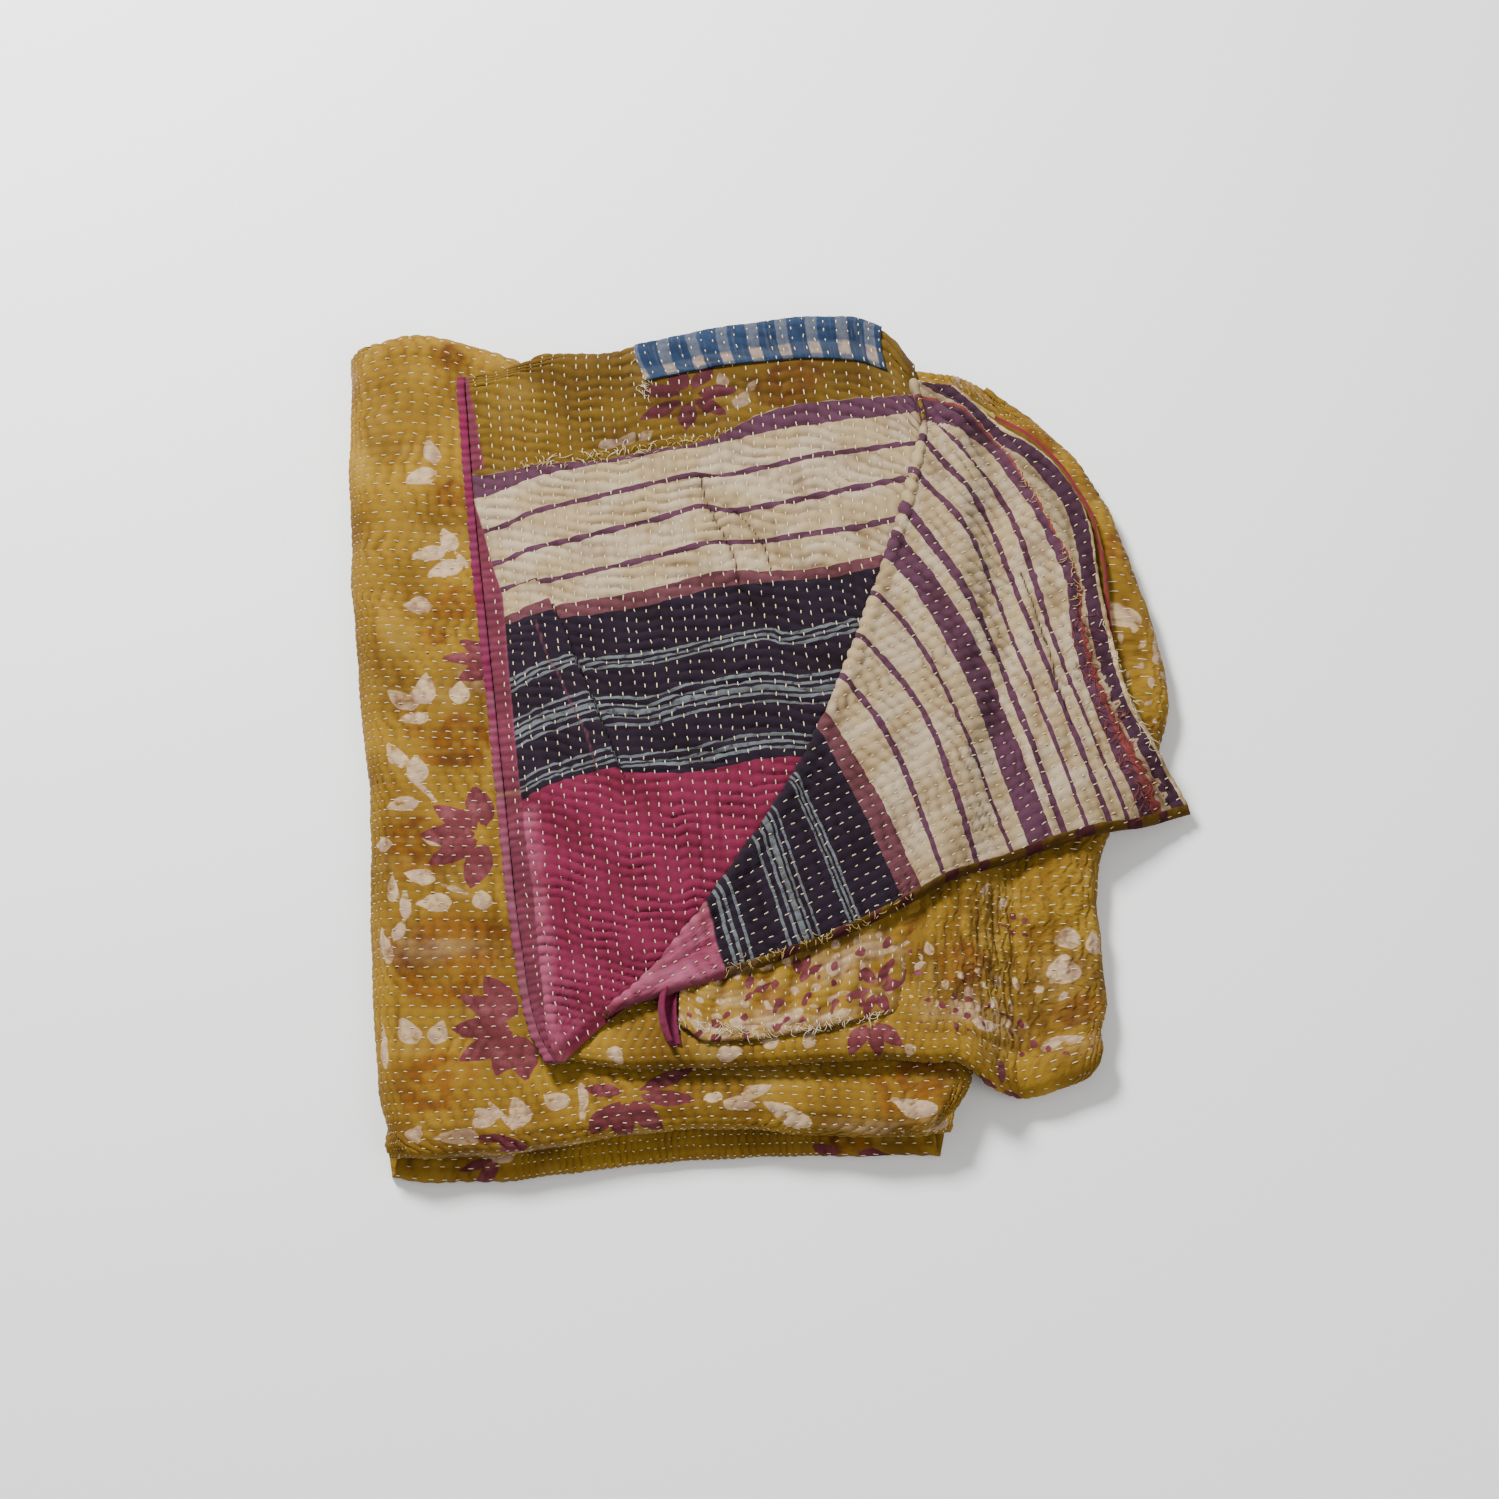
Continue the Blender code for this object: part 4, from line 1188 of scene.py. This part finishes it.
lower_net, middle_net = lower_rows(), middle_rows()
LOWER = Leaf(COLUMNS, len(lower_net) - 1, lambda c, r: lower_net[r](c))
MIDDLE = Leaf(COLUMNS, len(middle_net) - 1, lambda c, r: middle_net[r](c))
TOP = Leaf(TOP_COLUMNS, TOP_ROWS + TOP_ROLL, top_leaf_point)
TURNED = Leaf(TURN_COLUMNS, TURN_ROWS, turned_corner_point, turned=True)


INNER = Leaf(INNER_ACROSS, INNER_ALONG, inner_hem_point, turned=True)
FLAP = Leaf(FLAP_ACROSS, FLAP_ALONG, loose_hem_point)
ROLLED = Leaf(ROLL_AROUND, ROLL_ALONG, rolled_edge_point, turned=True)
BINDING = Leaf(len(WRAP) - 1, TOP_ROWS + TOP_ROLL, binding_point)
PATCH = Leaf(PATCH_STEPS, PATCH_ROWS[1] - PATCH_ROWS[0], patch_point)

# Rows of stitches: gap between rows, pitch along them, mm, seed, and the shares of a pitch a row shifts by
side_rows = Quilting(8.2, 8.8, 11, (-0.3, 0.35, 0.5, 0.12))
pleat_rows = Quilting(8.0, 7.4, 16, (-0.12, 0.1, 0.04, 0.2))
top_rows = Quilting(9.8, 10.6, 12, (-0.3, 0.26, 0.4, 0.14))
turned_rows = Quilting(9.8, 10.6, 13, (-0.3, 0.26, 0.4, 0.14))
hem_rows = Quilting(9.0, 11.0, 15, (-0.42, 0.42, 0.5, 0.3))
TURNED_GRAIN = math.radians(30)


# Each gives places across and along a piece's rows of stitches


def along_cloth(c, r, x, y):
    return r, c


def across_cloth(c, r, x, y):
    return c, r


def along_hem(c, r, x, y):
    return x - np.interp(y, *zip(*HEM)) - BINDING_WIDTH, r


def turned_grain(c, r, x, y):
    return (-x * math.sin(TURNED_GRAIN) + y * math.cos(TURNED_GRAIN),
            x * math.cos(TURNED_GRAIN) + y * math.sin(TURNED_GRAIN))


# Creases: x0, y0, x1, y1, half width, depth, mm; a negative depth is a ridge
LOWER_CREASES = (
    (-285, -338, -200, -348, 4.0, 1.6), (-200, -348, -120, -340, 3.5, 1.8), (-262, -350, -150, -352, 3.0, 1.6),
    (-120, -330, -20, -328, 4.0, 1.5), (-20, -326, 90, -330, 3.5, 1.2), (-318, 120, -309, 60, 3.0, 1.2),
    (-300, -60, -292, -150, 3.0, 1.2), (-285, -200, -280, -290, 3.0, 1.4), (150, -338, 166, -300, 3.0, 2.0),
    (140, -345, 158, -316, 2.5, 1.6), (-225, 60, -222, -40, 5.0, 1.4), (-212, -80, -205, -180, 5.0, 1.4),
)
MIDDLE_CREASES = (
    (171, -140, 169, -170, 2.6, 2.4), (169, -170, 176, -196, 2.6, 2.8), (176, -196, 171, -231, 2.4, 2.4),
    (186, -146, 184, -200, 2.2, 1.8), (160, -150, 158, -214, 2.2, 1.8), (150, -176, 152, -236, 2.0, 1.4),
    (196, -130, 199, -190, 2.0, 1.2), (212, -140, 216, -200, 2.0, 1.4), (228, -120, 231, -230, 2.0, 1.2),
    (246, -110, 247, -190, 2.0, 1.4), (262, -120, 264, -240, 2.0, 1.2), (205, -230, 222, -262, 2.4, 1.6),
    (232, -228, 244, -262, 2.4, 1.5), (180, -215, 262, -212, 4.0, 1.2), (186, -170, 268, -162, 4.0, 0.8),
    (140, -262, 250, -272, 4.0, 1.6), (300, 60, 330, 64, 3.0, 1.2), (304, 96, 336, 104, 3.0, 1.4),
    (306, 84, 334, 88, 2.4, 1.0), (288, 232, 312, 252, 3.0, 1.2), (180, 340, 190, 362, 3.0, 1.2),
    (316, -20, 326, 40, 2.4, 1.4), (308, -30, 316, 30, 2.4, 1.4),
)
TOP_CREASES = (
    (-42, 250, -36, 221, 1.9, 2.4), (-37, 224, -21, 190, 1.9, 2.8), (-22, 192, -12, 168, 1.9, 2.8),
    (-13, 172, -7, 137, 1.9, 2.6), (-30, 226, -10, 213, 1.8, 1.6), (-12, 215, 3, 198, 1.8, 2.4),
    (2, 199, 14, 177, 1.8, 2.4), (13, 180, 20, 150, 1.8, 1.8), (-6, 140, 8, 118, 1.7, 1.6),
    (6, 122, 20, 96, 1.8, 1.4), (-166, 124, -154, 99, 1.5, 1.8), (-155, 101, -139, 56, 1.5, 2.2),
    (-140, 60, -121, 10, 1.5, 2.2), (-122, 14, -103, -36, 1.5, 1.6), (70, 230, 74, 195, 4.0, -1.4),
    (40, 262, 46, 228, 4.0, 1.4), (96, 196, 100, 168, 4.0, 1.6), (-40, -60, -38, -140, 1.8, 1.0),
    (-26, -50, -22, -128, 1.8, 1.0), (20, 40, 60, 20, 4.0, 1.4), (60, 70, 92, 66, 4.0, 1.6),
)
TURNED_CREASES = (
    (230, 160, 238, 134, 1.8, 1.4), (237, 138, 249, 92, 1.8, 2.8), (249, 96, 256, 62, 1.8, 1.8),
    (254, 66, 268, 14, 1.8, 1.6), (268, 18, 292, -40, 2.4, 1.2), (150, 262, 172, 240, 3.0, 1.6),
    (226, 60, 246, -30, 4.0, 1.4), (282, 20, 300, -40, 3.0, 1.6), (150, 306, 196, 300, 4.0, 1.6),
    (192, 100, 216, 30, 5.0, -1.6), (244, 40, 262, -40, 3.0, -1.4),
)


def print_marks(which, fades=(), pleats=()):
    def marks(c, r, x, y):
        return printed(c, r, PRINTS[which]) | {"fade": blobs(c, r, fades), "pleat": blobs(x, y, pleats)}
    return marks


def all_marks(c, **given):
    """Every mark that a finish reads; those not given are off."""
    off = {mark: np.full(len(c), OUTSIDE) for mark in ("star", "leaf", "band", "print", "weft", "crease", "margin")}
    return off | {mark: np.zeros(len(c)) for mark in ("rose", "fade", "pleat", "tan")} | given


def lower_relief(c, r, x, y):
    return side_rows.pucker(r, c) * 1.2 + creases(x, y, LOWER_CREASES) + 0.7 * waves(x, y, 60, 21)


def middle_relief(c, r, x, y):
    crumpled = blobs(x, y, ((210, -180, 90, 110, 1.0), (320, 60, 60, 90, 0.6)))
    rows = mix(side_rows.pucker(r, c), pleat_rows.pucker(r, c) * 1.15, crumpled)
    return (rows + creases(x, y, MIDDLE_CREASES) + 0.6 * waves(x, y, 55, 22)
            + 0.7 * crumpled * waves(x, 0.35 * y, 13, 27))


def top_margin(x, y):
    """How far inside the bound edge's inner side a point is, mm."""
    hem, width = (np.interp(y, *zip(*table)) for table in (HEM, MARGIN))
    return hem + width - x


def binding_ripple(c, r):
    return np.sin(math.tau * r / 8.5 + 0.8 * waves(c, r, 30, 37))


def top_relief(c, r, x, y):
    first, last = np.interp(PATCH_COLUMNS, range(TOP_COLUMNS + 1), TOP.across)
    under_patch = (c > first - 2) & (c < last + 2) & (r > TOP.along[PATCH_ROWS[0]] - 2)
    tuck = off_route(x, y, TUCK)
    beside_tuck = (np.where(tuck < 0, 1.5 * np.exp(tuck / 22), 0)
                   * np.clip((y + 45) / 30, 0, 1) * np.clip((140 - y) / 30, 0, 1))
    rows = top_rows.pucker(*along_hem(c, r, x, y)) * 1.4 + beside_tuck + creases(x, y, TOP_CREASES)
    rows += 0.6 * waves(x, y, 55, 23)
    rows = mix(rows, 0.4 * rows + 0.5 * binding_ripple(c, r) - 1.1, np.clip(top_margin(x, y) / 1.2 + 0.5, 0, 1))
    covered = np.clip((off_route(x, y, TURN_FOLD) + 5) / 8, 0, 1)
    crumpled = blobs(x, y, ((10, 200, 55, 70, 0.9), (60, 120, 50, 40, 0.5)))
    return (np.where(under_patch, 0.25, 1.0) * rows * (1 - covered)
            + 0.6 * crumpled * waves(x, y, 17, 28) - 2.2 * covered)


HEM_STRIP = 9.0        # width of the lining that shows along the turned corner's hem, mm
BINDING_SEAM_Y = -47


def turned_relief(c, r, x, y):
    a, b = turned_grain(c, r, x, y)
    hem = 4.2 * np.clip(1 - r / HEM_STRIP, 0, 1) ** 1.4
    rim = np.abs(off_route(x, y, TURN_OUTER))
    crumpled = blobs(x, y, ((262, 70, 40, 120, 1.0),))
    return (turned_rows.pucker(a, b) * 1.4 + creases(x, y, TURNED_CREASES) + 0.6 * waves(x, y, 45, 24)
            + 0.7 * crumpled * waves(x, 0.4 * y, 15, 29) - hem - 1.2 * np.exp(-((rim - 19) / 3.0) ** 2))


def binding_seam(y, half_width):
    """1 at the join in the bound edge."""
    return np.exp(-((y - BINDING_SEAM_Y) / half_width) ** 2)


def top_marks(c, r, x, y):
    band = band_at(x, y, TOP_ROUTES, -1)
    tuck = off_route(x, y, TUCK)
    band = band + TUCK_STEP * np.clip(1 + tuck / 90, 0, 1) * (tuck < 0) * (y > -60) * (y < 150)
    weft = 1.0 - np.abs(off_route(x, y, flowing(RED_WEFT)))
    weft[(y > 112) | (y < -34)] = OUTSIDE
    margin, seam = top_margin(x, y), binding_seam(y, 1.6)
    crease = dark_creases(x, y, TOP_CREASES[:9] + TOP_CREASES[10:14])      # the sharp ones
    # The same painted dark line runs across the margin at the join in the bound edge.
    crease = np.maximum(crease, OUTSIDE * (1 - seam * (margin > -3)))
    fade = 0.7 * np.clip(1 + (margin + 4) / 12, 0, 1) * (y < -60)
    fade = np.maximum(fade, blobs(c, r, ((60, 70, 46, 30, 0.35), (150, 30, 60, 20, 0.3))))
    return all_marks(c, band=band, print=6 - band, weft=weft, crease=crease, margin=margin, tan=0.6 * seam,
                     fade=fade) | printed(c, r, PRINTS["top"])


def turned_marks(c, r, x, y):
    """Outside its last route the bands are a frayed edge, the cream past it, painted in shade, and the coloured rim.
    """
    band = band_at(x, y, TURNED_ROUTES, 1)
    rim = np.abs(off_route(x, y, flowing(TURN_OUTER)))
    last = TURNED_ROUTES[-1][0]
    beyond = last - band
    frayed = np.interp(y, (-60, 40, 110, 200), (15, 9, 3.5, 2.2)) * (0.8 + 0.4 * waves(x, y, 12, 33))
    room = np.maximum(beyond - frayed + rim - 15, 0.1)
    in_frays = last - 9.9 * beyond / np.maximum(frayed, 0.5)
    outside = np.where(beyond < frayed, in_frays, -145.1 - 14.8 * np.clip((beyond - frayed) / room, 0, 1))
    outside = np.where(rim < 15, -160 - np.clip(15 - rim, 0, 15), outside)
    outside = np.where((beyond < frayed) & (rim > 3), in_frays, outside)
    band = np.where(beyond > 0, outside, band)
    lining = np.where(band < MAGENTA_START, HEM_STRIP - r, OUTSIDE)
    streaks = np.where(r < HEM_STRIP, 2.6 * waves(c, 0 * c, 15, 31) - 1.0, OUTSIDE)
    return all_marks(c, star=streaks, band=band, print=lining, crease=dark_creases(x, y, TURNED_CREASES[:4]),
                     fade=np.where(band > 300, 1.0, 0.0))


def lower_seen(c, r, x, y):
    start, end = (LOWER.along[row] for row in GROUND_FOLD_ROWS)
    in_front = (y < -334) & (r > start) & (r < end)
    open_top = (x < np.interp(y, *zip(*HEM)) + 14) | (y < -268) | (y > 348)
    return (r > LOWER.along[LOWER_SEEN_ROW]) & open_top | in_front


def middle_seen(c, r, x, y):
    open_top = (y < -190) | (x > 255) | (y > 300) & (x > 110) | (y < -60) & (x > 140)
    return (r > MIDDLE.along[MIDDLE_SEEN_ROW]) & open_top


def top_seen(c, r, x, y):
    return off_route(x, y, TURN_FOLD) < 16


def everywhere(c, r, x, y):
    return np.full(len(c), True)


def past_fold(c, r, x, y):
    """On the turned corner, but for the part that rolls under at its fold."""
    return c > 14


def left_of_end(c, r, x, y):
    """On the loose hem, but for its right end, which lies hidden."""
    return c < 190


def marbled(x, y, places, size, seed):
    """Torn scraps of the print's petals in some places, mm inside each scrap."""
    return np.where(blobs(x, y, places) > 0.3, 3.2 * waves(x, y, size, seed) - 2.6, OUTSIDE)


def add_scraps(marks, scraps, pale):
    return marks | {"star": np.maximum(marks["star"], scraps), "leaf": np.maximum(marks["leaf"], pale)}


lower_marks = print_marks("lower", ((140, 2590, 22, 14, 0.4), (90, 2345, 34, 12, 0.3), (130, 2165, 90, 7, 0.6),
                                    (420, 2180, 60, 7, 0.5), (30, 2880, 30, 20, 0.3)))
MIDDLE_FADES = ((330, 722, 36, 12, 0.6), (420, 700, 16, 12, 0.4), (404, 760, 10, 14, 0.3),
                (352, 1320, 26, 10, 0.4), (436, 1060, 8, 50, 0.3))
MIDDLE_PLEATS = ((240, -180, 90, 90, 0.9), (200, -230, 60, 40, 0.7), (320, 40, 40, 80, 0.7),
                 (280, -100, 40, 60, 0.8))


def middle_marks(c, r, x, y):
    scraps = marbled(x, y, ((175, -245, 44, 16, 1.0), (215, -160, 20, 12, 0.8), (240, -270, 40, 8, 0.8)), 12, 63)
    pale = marbled(x, y, ((200, -228, 56, 22, 1.0), (190, -140, 26, 16, 0.9), (330, 70, 26, 50, 0.9)), 13, 64)
    return add_scraps(print_marks("middle", MIDDLE_FADES, MIDDLE_PLEATS)(c, r, x, y), scraps, pale)


def inner_relief(c, r, x, y):
    return 0.4 * side_rows.pucker(r, c)


def inner_marks(c, r, x, y):
    return all_marks(c, band=np.where(r > 298, -195.0, -185.0), print=INNER.width - c - 2.8)


def flap_relief(c, r, x, y):
    front = np.clip(1 - r / 9, 0, 1) ** 2
    return 0.65 * pleat_rows.pucker(c, r) + 0.9 * waves(x, y, 24, 35) - 1.2 * front + 0.5 * front * waves(x, y, 7, 36)


def flap_marks(c, r, x, y):
    worn = ((26, 8, 30, 9, 0.9), (74, 12, 22, 14, 0.7), (116, 6, 40, 6, 0.8), (40, 40, 30, 12, 0.4),
            (150, 52, 40, 14, 0.7), (196, 22, 20, 10, 0.5))
    scraps = marbled(c, r, ((40, 10, 40, 14, 1.0), (110, 34, 50, 24, 1.0), (176, 44, 40, 26, 1.0)), 17, 61)
    pale = marbled(c, r, ((90, 30, 110, 50, 1.0),), 15, 62)
    return add_scraps(print_marks("flap", worn)(c, r, x, y), scraps, pale)


def binding_relief(c, r, x, y):
    return 0.55 * binding_ripple(c, r) + 0.3 * waves(x, y, 20, 38) - 1.2 * binding_seam(y, 2.2)


def binding_marks(c, r, x, y):
    """Dark towards the rear, and worn as pale as the margin beside it towards the front."""
    pale = np.interp(y, (-80, -20, 60, 140), (3.0, 1.2, -0.6, -3.0)) + 0.5 * waves(x, y, 18, 39)
    return all_marks(c, fade=pale, rose=0.6 * binding_seam(y, 1.8))


def patch_relief(c, r, x, y):
    return 0.4 + 0.55 * top_rows.pucker(c, r)


def patch_marks(c, r, x, y):
    return all_marks(c)


def rolled_relief(c, r, x, y):
    return 0.3 * waves(c, r, 9, 40)


def rolled_marks(c, r, x, y):
    return all_marks(c, fade=np.full(len(c), -3.0))


# The size of each grid's squares, mm, is as fine as its part in the picture needs
lower = lay("lower_leaves", LOWER, 2.44, lower_relief, lower_marks, (FLORAL,), seen=lower_seen, cuts=5)
middle = lay("middle_leaves", MIDDLE, 2.1, middle_relief, middle_marks, (FLORAL,), seen=middle_seen)
top = lay("top_leaf", TOP, 2.14, top_relief, top_marks, (PATCHED, FLORAL), seen=top_seen)
turned = lay("turned_corner", TURNED, 2.1, turned_relief, turned_marks, (PATCHED, FLORAL))
inner = lay("inner_hem", INNER, 2.5, inner_relief, inner_marks, (PATCHED, FLORAL))
flap = lay("loose_hem", FLAP, 1.7, flap_relief, flap_marks, (FLORAL,))
binding = lay("bound_edge", BINDING, 1.5, binding_relief, binding_marks, (BOUND,), thickness=1.4)
patch = lay("blue_patch", PATCH, 1.6, patch_relief, patch_marks, (CHECKED,), thickness=PATCH_THICK)
rolled = lay("rolled_edge", ROLLED, 1.6, rolled_relief, rolled_marks, (BOUND,), thickness=2.0)

# Running stitches: sheet, rows, the coordinates that the rows follow, where they show, length and thickness, mm
STITCHED = {
    "lower_stitches": ("lower_leaves", side_rows, along_cloth, lower_seen, 3.8, 0.8),
    "middle_stitches": ("middle_leaves", side_rows, along_cloth, middle_seen, 3.6, 0.8),
    "top_stitches": ("top_leaf", top_rows, along_hem, top_seen, 4.9, 0.95),
    "turned_stitches": ("turned_corner", turned_rows, turned_grain, past_fold, 4.2, 0.9),
    "patch_stitches": ("blue_patch", top_rows, across_cloth, everywhere, 3.6, 0.9),
    "hem_stitches": ("loose_hem", hem_rows, across_cloth, left_of_end, 4.0, 0.9),
}
# Frayed threads: sheet, line (x, y), how many, length, finish, seed, lean, then spread and thickness where not usual
FRAYED = {
    "seam_frays": ("top_leaf", ((-207, 258), (-150, 262), (-94, 274), (-43, 283), (-17, 293)), 85, 6.5, YELLOWISH,
                   51, 80),
    "seam_threads": ("top_leaf", ((-186, 262), (-110, 270), (-60, 281)), 22, 11, THREADED, 52, 60, 2.0),
    "red_frays": ("turned_corner", ((279, 120), (280, 84), (295, 34), (312, -12), (332, -59)), 120, 12, REDDISH,
                  53, -62, 5.0, 0.6),
    "ochre_frays": ("turned_corner", ((232, 262), (256, 208), (272, 168), (280, 130)), 45, 8, YELLOWISH,
                    54, -65, 1.2),
    "edge_frays": ("turned_corner", ((296, 118), (309, 72), (326, 14), (340, -12)), 40, 7, THREADED, 55, -60, 1.5),
    "flap_frays": ("loose_hem", ((-52, -254), (8, -267), (56, -259), (110, -246)), 90, 8, THREADED, 56, -80, 2.2),
    "hem_frays": ("turned_corner", ((-20, -208), (33, -192), (81, -173), (130, -147)), 60, 6, YELLOWISH,
                  57, -70, 2.0),
    "patch_frays": ("top_leaf", ((-97, 330), (-88, 334), (-86, 350), (-92, 368)), 26, 8, THREADED, 58, 200, 2.0),
}
sewn = [stitches(name, *row) for name, row in STITCHED.items()] + [frays(name, *row) for name, row in FRAYED.items()]

# What each piece stands for, moves with and was cut from

CLOTHS = ((lower, LOWER, "quilt", "quilted_cotton"), (middle, MIDDLE, "quilt", "quilted_cotton"),
          (top, TOP, "quilt", "quilted_cotton"), (turned, TURNED, "quilt", "quilted_cotton"),
          (inner, INNER, "quilt", "quilted_cotton"), (flap, FLAP, "quilt", "quilted_cotton"),
          (rolled, ROLLED, "quilt", "magenta_cotton"), (binding, BINDING, "edge_binding", "magenta_cotton"),
          (patch, PATCH, "check_patch", "blue_check_cotton"))
for piece, leaf, node, finish_slot in CLOTHS:
    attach(piece, "root")
    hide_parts(node)
for piece in sewn:
    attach(piece, "root")


# Floor, light and camera

def area_light(name, place, size, watts):
    """A square light aimed at the quilt."""
    data = bpy.data.lights.new(name, "AREA")
    data.size, data.energy = size, watts
    light = new_object(name, data)
    light.location = place
    light.rotation_euler = (-Vector(place)).to_track_quat("-Z", "Y").to_euler()


bm = bmesh.new()
bmesh.ops.create_grid(bm, x_segments=1, y_segments=1, size=4.0)
floor = new_object("floor", new_mesh("floor", bm))
paper = bpy.data.materials.new("pale_floor")
paper.use_nodes = True
paper_shader = paper.node_tree.nodes["Principled BSDF"]
paper_shader.inputs["Base Color"].default_value = (0.9, 0.9, 0.89, 1.0)
paper_shader.inputs["Roughness"].default_value = 0.9
floor.data.materials.append(paper)

world = bpy.data.worlds.new("studio")
world.use_nodes = True
background = world.node_tree.nodes["Background"]
background.inputs["Color"].default_value = (1.0, 1.0, 1.0, 1.0)
background.inputs["Strength"].default_value = 0.4
bpy.context.scene.world = world
area_light("key", (-1.2, 1.7, 1.9), 0.7, 195)
area_light("fill", (1.4, -1.6, 2.2), 2.0, 36)

CAMERA_AIM = (-0.0095, -0.0214, 0.02)
CAMERA_TILT = 64.0     # degrees above the surface
CAMERA_FAR = 3.2
CAMERA_LENS, CAMERA_SENSOR = 92.22, 36.0
camera_data = bpy.data.cameras.new("camera")
camera_data.lens, camera_data.sensor_width = CAMERA_LENS, CAMERA_SENSOR
camera = new_object("camera", camera_data)
rise = math.radians(CAMERA_TILT)
camera.location = (CAMERA_AIM[0], CAMERA_AIM[1] - CAMERA_FAR * math.cos(rise),
                   CAMERA_AIM[2] + CAMERA_FAR * math.sin(rise))
camera.rotation_euler = (math.radians(90 - CAMERA_TILT), 0, 0)
bpy.context.scene.camera = camera
